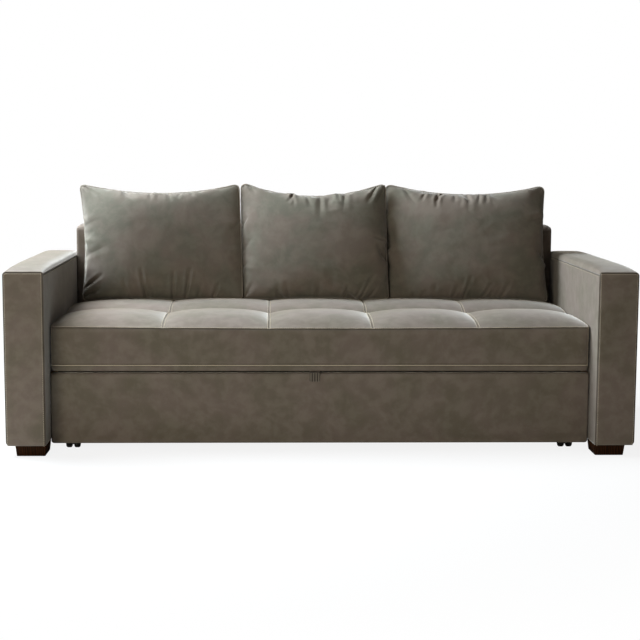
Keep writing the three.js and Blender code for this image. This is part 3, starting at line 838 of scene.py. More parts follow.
def with_lining(
    points: np.ndarray,
    quads: np.ndarray,
    lattice: np.ndarray,
    open_side: tuple[int, int],
    inner: tuple[np.ndarray, np.ndarray],
) -> tuple[np.ndarray, list[Sequence[int]]]:
    """Gives an open shell its rim and its inner wall, so that it has a real thickness.

    Args:
        points: the shell's vertices.
        quads: its faces.
        lattice: its vertices before shaping.
        open_side: the side that is open, as (axis, -1 or 1).
        inner: the lowest and highest corners of the space that it lines.

    Returns:
        The vertices and faces of the closed piece.
    """
    axis, sign = open_side
    a, b = (i for i in range(3) if i != axis)
    low, high = lattice.min(axis=0), lattice.max(axis=0)
    edge = high[axis] if sign > 0 else low[axis]
    on_edge = np.flatnonzero(np.abs(lattice[:, axis] - edge) < EXACT)
    share = (lattice[on_edge][:, (a, b)] - low[[a, b]]) / (high - low)[[a, b]]
    around = ring_order(share * 2 - 1, (1.0, 1.0))
    rim = on_edge[around]
    share = share[around]
    made = [points]
    loops = [rim]
    for depth in (points[rim, axis].mean(), inner[1 if sign < 0 else 0][axis]):
        ring = np.zeros((len(rim), 3))
        ring[:, a] = inner[0][a] + share[:, 0] * (inner[1][a] - inner[0][a])
        ring[:, b] = inner[0][b] + share[:, 1] * (inner[1][b] - inner[0][b])
        ring[:, axis] = depth
        loops.append(np.arange(len(rim)) + sum(len(m) for m in made))
        made.append(ring)
    turn = (sign > 0) == (axis != 1)
    faces: list[Sequence[int]] = [tuple(q) for q in quads]
    for outer, next_in in zip(loops, loops[1:]):
        for i in range(len(rim)):
            j = (i + 1) % len(rim)
            quad = (outer[i], outer[j], next_in[j], next_in[i])
            faces.append(quad if turn else quad[::-1])
    last = tuple(loops[-1])
    faces.append(last if turn else last[::-1])
    return np.concatenate(made), faces


def ring_order(places: np.ndarray, half: tuple[float, float]) -> np.ndarray:
    """Orders points that lie on the edge of a rectangle, anticlockwise from low left.

    Args:
        places: each point's place from the rectangle's middle.
        half: half the rectangle's width and height.

    Returns:
        The points' numbers in order.
    """
    x, y = places[:, 0] / half[0], places[:, 1] / half[1]
    near = 1 - 1e-4
    bottom, right, top = y <= -near, x >= near, y >= near
    walked = np.where(
        bottom & (x < near),
        x + 1,
        np.where(right & (y < near), y + 3, np.where(top & (x > -near), 5 - x, 7 - y)),
    )
    return np.argsort(walked, kind="stable")


class PlacedCloth:
    """A finished piece with the lattice place of each vertex, on which seams are found."""

    def __init__(self, piece: bpy.types.Object) -> None:
        """Reads the piece.

        Args:
            piece: a mesh object that keeps its lattice places.
        """
        self.points = read_vectors(piece.data.vertices, "co")
        self.normals = read_vectors(piece.data.vertices, "normal")
        self.lattice = stored(piece.data, LATTICE_ATTRIBUTE)

    def row(self, line: LatticeSeam, lift: float) -> np.ndarray:
        """Gives the points of the surface along a seam, in order.

        Args:
            line: the seam on the lattice.
            lift: how far the row stands off the surface.

        Returns:
            The row's points.
        """
        near = np.ones(len(self.lattice), bool)
        for axis, value in line.fixed:
            near &= np.abs(self.lattice[:, axis] - value) < 10 * EXACT
        along = self.lattice[:, line.axis]
        near &= (along >= line.run[0] - EXACT) & (along <= line.run[1] + EXACT)
        chosen = np.flatnonzero(near)
        chosen = chosen[np.argsort(along[chosen], kind="stable")]
        return self.points[chosen] + lift * self.normals[chosen]


def sew_grooves(
    piece: bpy.types.Object,
    seams: Sequence[LatticeSeam],
    depth: float,
    width: float,
    shade: float,
) -> None:
    """Draws a piece in along its seams, and stores painted shade along them for its finish.

    Args:
        piece: the piece, which keeps its lattice places.
        seams: the seams.
        depth: how deep the cloth is drawn in.
        width: how far from the seam the groove reaches.
        shade: how far from the seam the painted shade reaches.
    """
    mesh = piece.data
    points = read_vectors(mesh.vertices, "co")
    normals = read_vectors(mesh.vertices, "normal")
    lattice = stored(mesh, LATTICE_ATTRIBUTE)
    away = np.array([line.distance(lattice) for line in seams])
    dark = np.array([[line.dark] for line in seams])
    drawn = (0.25 + 0.75 * dark) * np.exp(-((away / width) ** 2))
    points -= normals * (depth * drawn.max(axis=0))[:, None]
    set_points(piece, points)
    # Painted shade along each seam, as strong as the seam's dark value
    store(mesh, SEAM_SHADE_ATTRIBUTE, np.max(dark * np.exp(-((away / shade) ** 2)), axis=0))


# Sewing by Geometry Nodes


class SewingTree:
    """A Geometry Nodes tree that turns rows of points into sewn work."""

    def __init__(self, name: str, inputs: dict[str, float]) -> None:
        """Starts the tree with its named sizes.

        Args:
            name: the tree's name.
            inputs: each size's name and its value in metres.
        """
        self.tree = bpy.data.node_groups.new(name, "GeometryNodeTree")
        face = self.tree.interface
        face.new_socket("Rows", in_out="INPUT", socket_type="NodeSocketGeometry")
        self.sockets: dict[str, str] = {}
        for size, value in inputs.items():
            socket = face.new_socket(size, in_out="INPUT", socket_type="NodeSocketFloat")
            socket.default_value = value
            self.sockets[size] = socket.identifier
        cloth = face.new_socket("Finish", in_out="INPUT", socket_type="NodeSocketMaterial")
        self.sockets["Finish"] = cloth.identifier
        face.new_socket("Work", in_out="OUTPUT", socket_type="NodeSocketGeometry")
        self.start = self.tree.nodes.new("NodeGroupInput").outputs

    def add(self, kind: str, inputs: dict | None = None) -> Socket:
        """Adds a node to the tree and returns its first output."""
        return add_node(self.tree, kind, inputs).outputs[0]

    def spaced_rows(self, step: str) -> Socket:
        """Gives the rows as curves with a point at each step of a named size."""
        line = self.add("GeometryNodeMeshToCurve", {"Mesh": self.start["Rows"]})
        spaced = {"mode": "LENGTH", "Curve": line, "Length": self.start[step]}
        return self.add("GeometryNodeResampleCurve", spaced)

    def balls(
        self, points: Socket, shape: dict, sizes: Sequence[str], more: dict | None = None
    ) -> None:
        """Sets a stretched ball on each point, and ends the tree with them.

        Args:
            points: the points.
            shape: the ball's own settings.
            sizes: the named sizes that stretch it along X, Y and Z.
            more: what turns each ball.
        """
        ball = self.add("GeometryNodeMeshUVSphere", shape)
        scale = self.add("ShaderNodeCombineXYZ", dict(zip("XYZ", map(self.start.get, sizes))))
        shaped = self.add("GeometryNodeTransform", {"Geometry": ball, "Scale": scale})
        placed = {"Points": points, "Instance": shaped, **(more or {})}
        self.end(self.add("GeometryNodeInstanceOnPoints", placed))

    def end(self, work: Socket) -> None:
        """Ends the tree with real geometry in its own finish."""
        real = self.add("GeometryNodeRealizeInstances", {"Geometry": work})
        smooth = self.add("GeometryNodeSetShadeSmooth", {"Geometry": real})
        finish = {"Geometry": smooth, "Material": self.start["Finish"]}
        add_node(self.tree, "NodeGroupOutput", {0: self.add("GeometryNodeSetMaterial", finish)})

    def run(
        self,
        name: str,
        rows: Sequence[np.ndarray],
        finish: bpy.types.Material,
        sizes: dict[str, float] | None = None,
        closed: bool = False,
    ) -> bpy.types.Object:
        """Works the rows into one plain mesh.

        Args:
            name: the new piece's name.
            rows: the points of each row.
            finish: the work's material.
            sizes: sizes that differ from the tree's own.
            closed: whether each row joins its own start.

        Returns:
            The finished piece.
        """
        points = np.concatenate(rows)
        edges = []
        start = 0
        for row in rows:
            count = len(row)
            edges += [(start + i, start + i + 1) for i in range(count - 1)]
            if closed:
                edges.append((start + count - 1, start))
            start += count
        mesh = bpy.data.meshes.new(name)
        mesh.from_pydata(points.tolist(), edges, [])
        piece = bpy.data.objects.new(name, mesh)
        bpy.context.scene.collection.objects.link(piece)
        work = piece.modifiers.new("Sewing", "NODES")
        work.node_group = self.tree
        for size, value in (sizes or {}).items():
            work[self.sockets[size]] = value
        work[self.sockets["Finish"]] = finish
        bake(piece)
        return piece


class SewingBox:
    """The sofa's sewing work: rows of stitches and lengths of piping cord."""

    def __init__(self) -> None:
        """Builds both trees."""
        self.stitches = self.stitch_tree()
        self.piping = self.piping_tree()

    @staticmethod
    def stitch_tree() -> SewingTree:
        """Builds the tree that lays one short round stitch after another along each row."""
        sizes = {"Pitch": 7.0 * MM, "Stitch Length": 6.4 * MM, "Thread Width": 1.9 * MM}
        work = SewingTree("topstitch_row", sizes)
        way = {"axis": "X", "Vector": work.add("GeometryNodeInputTangent")}
        turn = work.add("FunctionNodeAlignRotationToVector", way)
        ball = {"Segments": 6, "Rings": 5, "Radius": 0.5}
        stretch = ("Stitch Length", "Thread Width", "Thread Width")
        work.balls(work.spaced_rows("Pitch"), ball, stretch, {"Rotation": turn})
        return work

    @staticmethod
    def piping_tree() -> SewingTree:
        """Builds the tree that makes a round cord along each row."""
        work = SewingTree("piping_cord", {"Step": 6 * MM, "Cord Radius": 2.6 * MM})
        circle = {"Resolution": 8, "Radius": work.start["Cord Radius"]}
        section = work.add("GeometryNodeCurvePrimitiveCircle", circle)
        cord = {"Curve": work.spaced_rows("Step"), "Profile Curve": section, "Fill Caps": True}
        work.end(work.add("GeometryNodeCurveToMesh", cord))
        return work


# Filling the cushions


@dataclass(frozen=True)
class Filling:
    """How hard a sewn cover is blown up, and how its cloth gives."""

    pressure: float
    frames: int
    slack: float
    stiffness: float
    bending: float
    pin_group: str = "Sewn"
    quality: int = 6
    mass: float = 0.3
    damping: float = 8.0
    air_drag: float = 3.0

    def set_up(self, body: bpy.types.Object, sewn: np.ndarray) -> None:
        """Gives a cover its cloth.

        Args:
            body: the cover's mesh.
            sewn: the numbers of the vertices that seams and foam hold in place.
        """
        group = body.vertex_groups.new(name=self.pin_group)
        if len(sewn):
            group.add([int(i) for i in sewn], 1.0, "REPLACE")
        cloth = body.modifiers.new("Cloth", "CLOTH")
        ways = cloth.settings
        ways.quality = self.quality
        ways.mass = self.mass
        ways.tension_stiffness = self.stiffness
        ways.compression_stiffness = self.stiffness
        ways.shear_stiffness = self.stiffness / 2
        ways.bending_stiffness = self.bending
        ways.tension_damping = self.damping
        ways.compression_damping = self.damping
        ways.shear_damping = self.damping
        ways.air_damping = self.air_drag
        ways.use_pressure = True
        ways.uniform_pressure_force = self.pressure
        ways.shrink_min = -self.slack
        ways.effector_weights.gravity = 0
        if len(sewn):
            ways.vertex_group_mass = self.pin_group
        cloth.collision_settings.use_collision = False
        cloth.collision_settings.use_self_collision = False
        cloth.point_cache.frame_start = 1
        cloth.point_cache.frame_end = self.frames

    def run(self, bodies: Sequence[bpy.types.Object]) -> None:
        """Blows the covers up together and keeps the result in their meshes.

        Args:
            bodies: covers that set_up was called on.
        """
        scene = bpy.context.scene
        for frame in range(1, self.frames + 1):
            scene.frame_set(frame)
        for body in bodies:
            bake(body)
            body.vertex_groups.clear()
        scene.frame_set(1)


# Covers over the frame


@dataclass
class SofaPart:
    """A part of the sofa, with the finishes and the sewing trees that dress it."""

    book: FinishBook
    sewing: SewingBox


@dataclass(frozen=True)
class BoxShape:
    """How a box cover is shaped: rounded edges, swelling sides and slight unevenness."""

    low: np.ndarray
    high: np.ndarray
    roundings: tuple[Rounding, ...]
    swelling: tuple[tuple[float, float], tuple[float, float], tuple[float, float]]
    unevenness: float
    seed: int
    wave: float = 260 * MM
    wear_wave: float = 120 * MM
    roundness: int = 6
    side_power: int = 12

    def shaped(self, lattice: np.ndarray) -> np.ndarray:
        """Shapes lattice points.

        Args:
            lattice: points on the square box.

        Returns:
            The points of the cover.
        """
        middle, half = (self.low + self.high) / 2, (self.high - self.low) / 2
        place = (lattice - middle) / half
        points = lattice.copy()
        wavy = self.unevenness * ripple(lattice, self.seed, self.wave)
        for rounding in self.roundings:
            rounding.apply(points)
        for axis, (low_side, high_side) in enumerate(self.swelling):
            a, b = (i for i in range(3) if i != axis)
            inside = swell(place[:, a], self.roundness) * swell(place[:, b], self.roundness)
            for sign, amount in ((-1, low_side), (1, high_side)):
                on_side = np.clip(sign * place[:, axis], 0, 1) ** self.side_power
                points[:, axis] += sign * on_side * inside * (amount + wavy * (amount > 0))
        return points

    def wear(self, lattice: np.ndarray, reach: float = 13 * MM) -> np.ndarray:
        """Gives how much each point's nap is rubbed: most along the cover's edges."""
        gaps = np.minimum(np.abs(lattice - self.low), np.abs(self.high - lattice))
        edge = np.sort(gaps, axis=1)[:, 1]
        uneven = 0.65 + 0.35 * ripple(lattice, self.seed + 1, self.wear_wave)
        return np.exp(-((edge / reach) ** 2)) * np.clip(uneven, 0.1, 1)


@dataclass
class PaddedCover(SofaPart):
    """A foam and fabric shell over a frame, sewn along straight seams."""

    name: str
    node: str
    body: str
    shape: BoxShape
    lattice: LatticeBox
    lining: tuple[np.ndarray, np.ndarray]
    seams: tuple[LatticeSeam, ...]
    stitches: tuple[LatticeSeam, ...]
    groove: float = 2.6 * MM
    groove_width: float = 2.4 * MM
    seam_shade: float = 2.6 * MM
    thread_width: float = 1.2 * MM
    thread_lift: float = 0.4 * MM

    def build(self) -> None:
        """Makes the cover and its stitches, and puts them on their body."""
        lattice, quads = self.lattice.surface()
        points = self.shape.shaped(lattice)
        wear = self.shape.wear(lattice)
        open_side = self.lattice.open_side
        points, faces = with_lining(points, quads, lattice, open_side, self.lining)
        extra = len(points) - len(lattice)
        far = self.shape.high + 1
        cover = make_piece(self.name, points, faces, self.book.upholstery)
        store(cover.data, LATTICE_ATTRIBUTE, np.vstack([lattice, np.tile(far, (extra, 1))]))
        store(cover.data, WEAR_ATTRIBUTE, np.concatenate([wear, np.zeros(extra)]))
        if self.seams:
            sew_grooves(cover, self.seams, self.groove, self.groove_width, self.seam_shade)
        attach(cover, self.body)
        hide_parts(self.node)
        if self.stitches:
            placed = PlacedCloth(cover)
            rows = [placed.row(line, self.thread_lift) for line in self.stitches]
            name, width = f"{self.name}_topstitching", {"Thread Width": self.thread_width}
            thread = self.sewing.stitches.run(name, rows, self.book.thread, width)
            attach(thread, self.body)
        LOG.info("%s: %d faces, %d seams", self.name, len(cover.data.polygons), len(self.seams))


def node_box(node: str) -> tuple[np.ndarray, np.ndarray]:
    """Gives a frame node's lowest and highest corners."""
    low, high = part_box(node)
    return np.array(low), np.array(high)


def lined(node: str, gap: float = 0.3 * MM) -> tuple[np.ndarray, np.ndarray]:
    """Gives the space that a cover leaves for the frame node inside it."""
    low, high = node_box(node)
    return low - gap, high + gap


@dataclass
class ArmCover(SofaPart):
    """One arm: a square track arm with a sewn front panel and a seam under its inner top edge."""

    side: Side
    step: float = 15 * MM
    crown: float = 3.8 * MM
    padding: float = 11 * MM
    top_inner_radius: float = 9 * MM
    top_outer_radius: float = 13 * MM
    bottom_outer_radius: float = 16 * MM
    front_radius: float = 5 * MM
    rear_radius: float = 48 * MM
    rear_top_radius: float = 22 * MM
    small_radius: float = 4 * MM
    outer_padding: float = 4 * MM
    seam_drop: float = 11 * MM
    stitch_gap: float = 7 * MM
    row_gap: float = 5 * MM
    side_fullness: float = 2 * MM
    end_fullness: tuple[float, float] = (2.5 * MM, 1.5 * MM)
    unevenness: float = 0.9 * MM

    def build(self) -> None:
        """Makes the arm's cover."""
        node = f"{self.side.word}_arm_cover"
        low, high = node_box(node)
        high[2] -= self.crown
        out = self.side.value
        outside = high if out > 0 else low
        outside[0] += out * self.outer_padding
        inner, outer = (low[0], high[0]) if out > 0 else (high[0], low[0])
        front, rear, bottom, top = low[1], high[1], low[2], high[2]
        seam_z = top - self.seam_drop
        gap = self.stitch_gap
        lines = (
            spread_lines(low[0], high[0], self.step, [
                *corner_marks(inner, self.top_inner_radius, out),
                *corner_marks(outer, self.top_outer_radius, -out),
                *corner_marks(outer, self.rear_radius, -out, 5),
                inner + out * gap,
                outer - out * gap,
            ]),
            spread_lines(front, rear, self.step, [
                *corner_marks(front, self.front_radius, 1),
                *corner_marks(rear, self.rear_radius, -1, 5),
                *corner_marks(rear, self.rear_top_radius, -1),
            ]),
            spread_lines(bottom, top, self.step, [
                *corner_marks(bottom, self.bottom_outer_radius, 1),
                *corner_marks(top, self.top_outer_radius, -1),
                *corner_marks(top, self.rear_top_radius, -1, 3),
                *beside([seam_z], [self.row_gap / 2, self.row_gap]),
                top - gap,
            ]),
        )
        small = self.small_radius
        across = {
            (out, 1): self.top_outer_radius,
            (-out, 1): self.top_inner_radius,
            (out, -1): self.bottom_outer_radius,
            (-out, -1): small,
        }
        along = {
            (-1, 1): self.front_radius,
            (1, 1): self.rear_top_radius,
            (-1, -1): small,
            (1, -1): small,
        }
        upright = {
            (out, -1): self.front_radius,
            (-out, -1): small,
            (out, 1): self.rear_radius,
            (-out, 1): small,
        }
        fullness = self.side_fullness
        shape = BoxShape(
            low,
            high,
            (
                Rounding((0, 2), low, high, across),
                Rounding((1, 2), low, high, along),
                Rounding((0, 1), low, high, upright),
            ),
            (
                (fullness, 0) if out < 0 else (0, fullness),
                self.end_fullness,
                (0, self.crown + self.padding),
            ),
            self.unevenness,
            seed=31 + out,
        )
        seams = (
            seam((bottom, top), x=inner, y=front),
            seam((bottom, top), x=outer, y=front),
            seam((low[0], high[0]), y=front, z=top),
            seam((front, rear), x=inner, z=seam_z),
        )
        stitches = (
            seam((bottom, top - gap), x=inner + out * gap, y=front),
            seam((bottom, top - gap), x=outer - out * gap, y=front),
            seam((low[0] + gap, high[0] - gap), y=front, z=top - gap),
            seam((front + gap, rear - gap), x=inner, z=seam_z - self.row_gap),
        )
        PaddedCover(
            self.book,
            self.sewing,
            f"{self.side.word}_arm_upholstery",
            node,
            "sofa",
            shape,
            LatticeBox(lines, (2, -1)),
            lined(f"{self.side.word}_arm_frame"),
            seams,
            stitches,
        ).build()


@dataclass
class BackCover(SofaPart):
    """The low back between the arms, with a seam along its rear edges and two joins behind."""

    step: float = 18 * MM
    edge_radius: float = 26 * MM
    end_radius: float = 24 * MM
    small_radius: float = 6 * MM
    join_x: float = 352 * MM
    row_gap: float = 6 * MM
    fullness: float = 2 * MM
    unevenness: float = 1.3 * MM

    def build(self) -> None:
        """Makes the back's cover."""
        low, high = node_box("back_cover")
        ends, joins, rear = (low[0], high[0]), (-self.join_x, self.join_x), high[1]
        edge = self.edge_radius
        lines = (
            spread_lines(*ends, self.step, [
                *end_marks(*ends, self.end_radius),
                *beside(joins, [self.row_gap / 2, self.row_gap]),
            ]),
            spread_lines(low[1], rear, self.step, end_marks(low[1], rear, edge, 5)),
            spread_lines(low[2], high[2], self.step, [
                *corner_marks(low[2], self.small_radius, 1, 2),
                *corner_marks(high[2], edge, -1, 5),
            ]),
        )
        shape = BoxShape(
            low,
            high,
            (
                Rounding((1, 2), low, high, {(s, 1): edge for s in (-1, 1)}),
                Rounding((0, 2), low, high, {(s, 1): self.end_radius for s in (-1, 1)}),
                Rounding((0, 1), low, high, all_four(self.small_radius)),
            ),
            ((0, 0), (0, self.fullness), (0, self.fullness)),
            self.unevenness,
            seed=77,
        )
        seams = (
            seam(ends, y=rear, z=high[2]),
            *(seam((low[2], high[2]), x=x, y=rear) for x in (*ends, *joins)),
        )
        rows = [x + s * self.row_gap for x in joins for s in (-1, 1)]
        PaddedCover(
            self.book,
            self.sewing,
            "back_upholstery",
            "back_cover",
            "sofa",
            shape,
            LatticeBox(lines, (2, -1)),
            lined("back_frame"),
            seams,
            tuple(seam((low[2], high[2] - edge), x=x, y=rear) for x in rows),
        ).build()


@dataclass
class FrontPanel(SofaPart):
    """The padded front of the pull-out bed, wrapped over its front board."""

    step: float = 16 * MM
    radius: float = 9 * MM
    side_radius: float = 5 * MM
    end_padding: float = 1.5 * MM
    end_fullness: float = 1.5 * MM
    front_fullness: float = 1.6 * MM
    unevenness: float = 0.9 * MM
    wave: float = 330 * MM

    def build(self) -> None:
        """Makes the panel's cover."""
        low, high = node_box("front_panel_cover")
        low[0] -= self.end_padding
        high[0] += self.end_padding
        xs, zs = (
            spread_lines(*span, self.step, end_marks(*span, self.radius, 3))
            for span in ((low[0], high[0]), (low[2], high[2]))
        )
        ys = spread_lines(low[1], high[1], self.step, corner_marks(low[1], self.radius, 1, 3))
        shape = BoxShape(
            low,
            high,
            (
                Rounding((0, 2), low, high, all_four(self.radius)),
                Rounding((1, 2), low, high, {(-1, t): self.radius for t in (-1, 1)}),
                Rounding((0, 1), low, high, {(s, -1): self.side_radius for s in (-1, 1)}),
            ),
            ((self.end_fullness, self.end_fullness), (self.front_fullness, 0), (0, 0)),
            self.unevenness,
            seed=53,
            wave=self.wave,
        )
        PaddedCover(
            self.book,
            self.sewing,
            "front_panel_upholstery",
            "front_panel_cover",
            "bed",
            shape,
            LatticeBox((xs, ys, zs), (1, 1)),
            lined("bed_front_board"),
            (),
            (),
        ).build()


# Seat


@dataclass
class SeatCushion(SofaPart):
    """The bench cushion: two rows of five sewn biscuits over a boxing with a lower seam."""

    step: float = 15 * MM
    inset: float = 2.5 * MM
    corner_radius: float = 12 * MM
    end_padding: float = 2 * MM
    seam_height: float = 162.4 * MM
    lower_seam: float = 21.5 * MM
    sag: float = 6 * MM
    seam_humps: tuple[float, float] = (16 * MM, 29 * MM)
    end_hump: float = 0.45
    crowns: tuple[float, float] = (27 * MM, 12 * MM)
    evenness: float = 0.7
    tuck: float = 7 * MM
    welt_radius: float = 1.7 * MM
    inner_seam: float = 190 * MM
    outer_seam: float = 579 * MM
    row_gap: float = 3.4 * MM
    groove: float = 3.2 * MM
    groove_width: float = 2.2 * MM
    seam_shade: float = 2.6 * MM
    # How dark the painted shade is along the top's grid seams and the boxing's seams
    grid_darkness: float = 0.18
    boxing_darkness: float = 0.8
    wear_reach: float = 16 * MM
    wear_wave: float = 160 * MM
    thread_lift: float = 0.5 * MM
    biscuit_powers: tuple[float, float] = (2.5, 3)
    peak_percentile: float = 99.7
    blown_limit: float = 1.1
    filling: Filling = Filling(4.0, 20, 0.004, 18, 0.6)

    def __post_init__(self) -> None:
        """Works out the cushion's places from its space in the frame."""
        self.low, self.high = node_box("seat_cushion")
        self.low[0] -= self.end_padding
        self.high[0] += self.end_padding
        self.high[2] = self.low[2] + self.seam_height
        self.middle = (self.low + self.high) / 2
        self.half = (self.high - self.low) / 2
        self.lower_z = self.low[2] + self.lower_seam
        self.columns = (-self.outer_seam, -self.inner_seam, self.inner_seam, self.outer_seam)
        self.row_y = 0.0

    def start_shape(self, lattice: np.ndarray) -> np.ndarray:
        """Gives the cover before it is filled.

        Args:
            lattice: points on the square box.

        Returns:
            The points, drawn in by the depth of the filling's swell, with its seams in place.
        """
        points = lattice.copy()
        for axis in (0, 1):
            share = (self.half[axis] - self.inset) / self.half[axis]
            points[:, axis] = self.middle[axis] + (lattice[:, axis] - self.middle[axis]) * share
        corners = all_four(self.corner_radius)
        Rounding((0, 1), self.low + self.inset, self.high - self.inset, corners).apply(points)
        across, along = ((lattice[:, a] - self.middle[a]) / self.half[a] for a in (0, 1))
        sag = self.sag * swell(across, 2) * np.maximum(0, -along) ** 2
        row = swell(place_in_span(lattice[:, 1], (self.low[1], self.row_y, self.high[1])), 3)
        level = self.end_hump + (1 - self.end_hump) * swell(across, 8)
        valley = level * np.where(lattice[:, 1] < self.row_y, *self.seam_humps) * row
        above = lattice[:, 2] > self.lower_z + EXACT
        span = self.high[2] - self.lower_z
        share = (lattice[above, 2] - self.lower_z) / span
        points[above, 2] = self.lower_z + share * (span - sag[above] + valley[above])
        under = (self.lower_z - lattice[:, 2]) / self.lower_seam
        tuck = np.clip(under, 0, 1) ** 2 * self.tuck
        for axis in (0, 1):
            outward = np.sign(lattice[:, axis] - self.middle[axis])
            edge = np.abs(lattice[:, axis] - self.middle[axis]) > self.half[axis] - EXACT
            points[edge, axis] -= (outward * tuck)[edge]
        return points

    def sewn(self, lattice: np.ndarray) -> np.ndarray:
        """Gives the numbers of the vertices that seams and the deck hold in place."""
        def at(axis: int, value: float) -> np.ndarray:
            return np.abs(lattice[:, axis] - value) < 2 * EXACT

        ends_x = at(0, self.low[0]) | at(0, self.high[0])
        ends_y = at(1, self.low[1]) | at(1, self.high[1])
        columns = np.any([at(0, x) for x in self.columns], axis=0)
        on_top = at(2, self.high[2])
        held = on_top & (ends_x | ends_y | columns | at(1, self.row_y))
        held |= at(2, self.lower_z) | at(2, self.low[2]) | (ends_x & ends_y)
        return np.flatnonzero(held)

    def lay_out(self) -> LatticeBox:
        """Lays the cushion's lines out, with fine ones along its seams."""
        gaps = [self.row_gap]
        edge = [self.row_gap, self.corner_radius * 0.6, self.corner_radius]
        ends = list(zip(self.low, self.high))
        marks = [
            beside(seams, gaps) + beside(ends[axis], edge)
            for axis, seams in enumerate((self.columns, [self.row_y]))
        ]
        marks.append(beside([self.lower_z, self.high[2]], gaps))
        lines = [spread_lines(*span, self.step, near) for span, near in zip(ends, marks)]
        return LatticeBox(tuple(lines))

    def cut_cover(self) -> bpy.types.Object:
        """Makes the empty cover, ready to be filled, and returns it."""
        lattice, quads = self.lay_out().surface()
        self.start = self.start_shape(lattice)
        cover = make_piece("seat_cushion_cover", self.start, quads, self.book.upholstery)
        store(cover.data, LATTICE_ATTRIBUTE, lattice)
        self.filling.set_up(cover, self.sewn(lattice))
        return cover

    def settle(self, cover: bpy.types.Object) -> None:
        """Brings the filled cover to the cushion's real crown and swell.
        """
        lattice = stored(cover.data, LATTICE_ATTRIBUTE)
        on_top = lattice[:, 2] > self.high[2] - EXACT
        seams_x = (self.low[0], *self.columns, self.high[0])
        seams_y = (self.low[1], self.row_y, self.high[1])
        puff = np.ones(np.count_nonzero(on_top))
        for axis, seams in enumerate((seams_x, seams_y)):
            place = place_in_span(lattice[on_top, axis], seams)
            puff *= swell(place, self.biscuit_powers[axis])
        moved = np.zeros_like(self.start)
        share = puff
        moved = read_vectors(cover.data.vertices, "co") - self.start
        rise = np.percentile(moved[on_top, 2], self.peak_percentile)
        moved[on_top, :2] *= max(self.crowns) / rise / 2
        blown = np.clip(moved[on_top, 2] / rise, 0, self.blown_limit)
        share = self.evenness * puff + (1 - self.evenness) * blown
        moved[on_top, 2] = np.where(lattice[on_top, 1] < self.row_y, *self.crowns) * share
        outward = np.abs(moved[~on_top, :2]).max(initial=EXACT)
        moved[~on_top] *= self.inset / outward
        set_points(cover, self.start + moved)
        subdivide(cover)

    def seam_lines(self) -> list[LatticeSeam]:
        """Gives the cushion's seams, each with the darkness of its painted shade."""
        (x0, y0, _), (x1, y1, z1) = self.low, self.high
        seams = []
        for z, dark in ((self.lower_z, self.boxing_darkness), (z1, 1.0)):
            seams += [seam((x0, x1), dark, y=y, z=z) for y in (y0, y1)]
            seams += [seam((y0, y1), dark, x=x, z=z) for x in (x0, x1)]
        faint = self.grid_darkness
        seams += [seam((y0, y1), faint, x=x, z=z1) for x in self.columns]
        seams.append(seam((x0, x1), faint, y=self.row_y, z=z1))
        seams += [seam((self.lower_z, z1), x=x, y=y) for x in (x0, x1) for y in (y0, y1)]
        return seams

    def stitch_lines(self) -> list[LatticeSeam]:
        """Gives the rows of topstitching."""
        (x0, y0, _), (x1, y1, z1) = self.low, self.high
        gap = self.row_gap
        level, depth = (x0 + gap, x1 - gap), (y0 + gap, y1 - gap)
        across = (*depth, self.row_y - gap, self.row_y + gap)
        along = (*level, *(c + s * gap for c in self.columns for s in (-1, 1)))
        return [
            *(seam(level, y=y, z=z1) for y in across),
            *(seam(depth, x=x, z=z1) for x in along),
            *(seam((self.lower_z + gap, z1 - gap), x=x, y=y0) for x in level),
        ]

    def welt(self, placed: PlacedCloth) -> None:
        """Lays the thin pale welt in the boxing's lower seam."""
        near = np.flatnonzero(np.abs(placed.lattice[:, 2] - self.lower_z) < 10 * EXACT)
        flat = placed.lattice[near][:, :2] - self.middle[:2]
        near = near[ring_order(flat, (self.half[0], self.half[1]))]
        ring = placed.points[near] + placed.normals[near] * self.welt_radius
        radius = {"Cord Radius": self.welt_radius}
        cord = self.sewing.piping.run("seat_welt", [ring], self.book.thread, radius, closed=True)
        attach(cord, "sofa")

    def dress(self, cover: bpy.types.Object) -> None:
        """Sews the settled cushion's seams and puts it on the sofa."""
        lattice = stored(cover.data, LATTICE_ATTRIBUTE)
        front = np.hypot(lattice[:, 1] - self.low[1], lattice[:, 2] - self.high[2])
        uneven = np.clip(0.6 + 0.4 * ripple(lattice, 5, self.wear_wave), 0.1, 1)
        store(cover.data, WEAR_ATTRIBUTE, np.exp(-((front / self.wear_reach) ** 2)) * uneven)
        sew_grooves(cover, self.seam_lines(), self.groove, self.groove_width, self.seam_shade)
        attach(cover, "sofa")
        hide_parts("seat_cushion")
        placed = PlacedCloth(cover)
        rows = [placed.row(line, self.thread_lift) for line in self.stitch_lines()]
        thread = self.sewing.stitches.run("seat_topstitching", rows, self.book.thread)
        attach(thread, "sofa")
        self.welt(placed)
        top = placed.points[:, 2].max()
        LOG.info("seat cushion: %d faces, top at %.3f m", len(cover.data.polygons), top)


# Back pillows


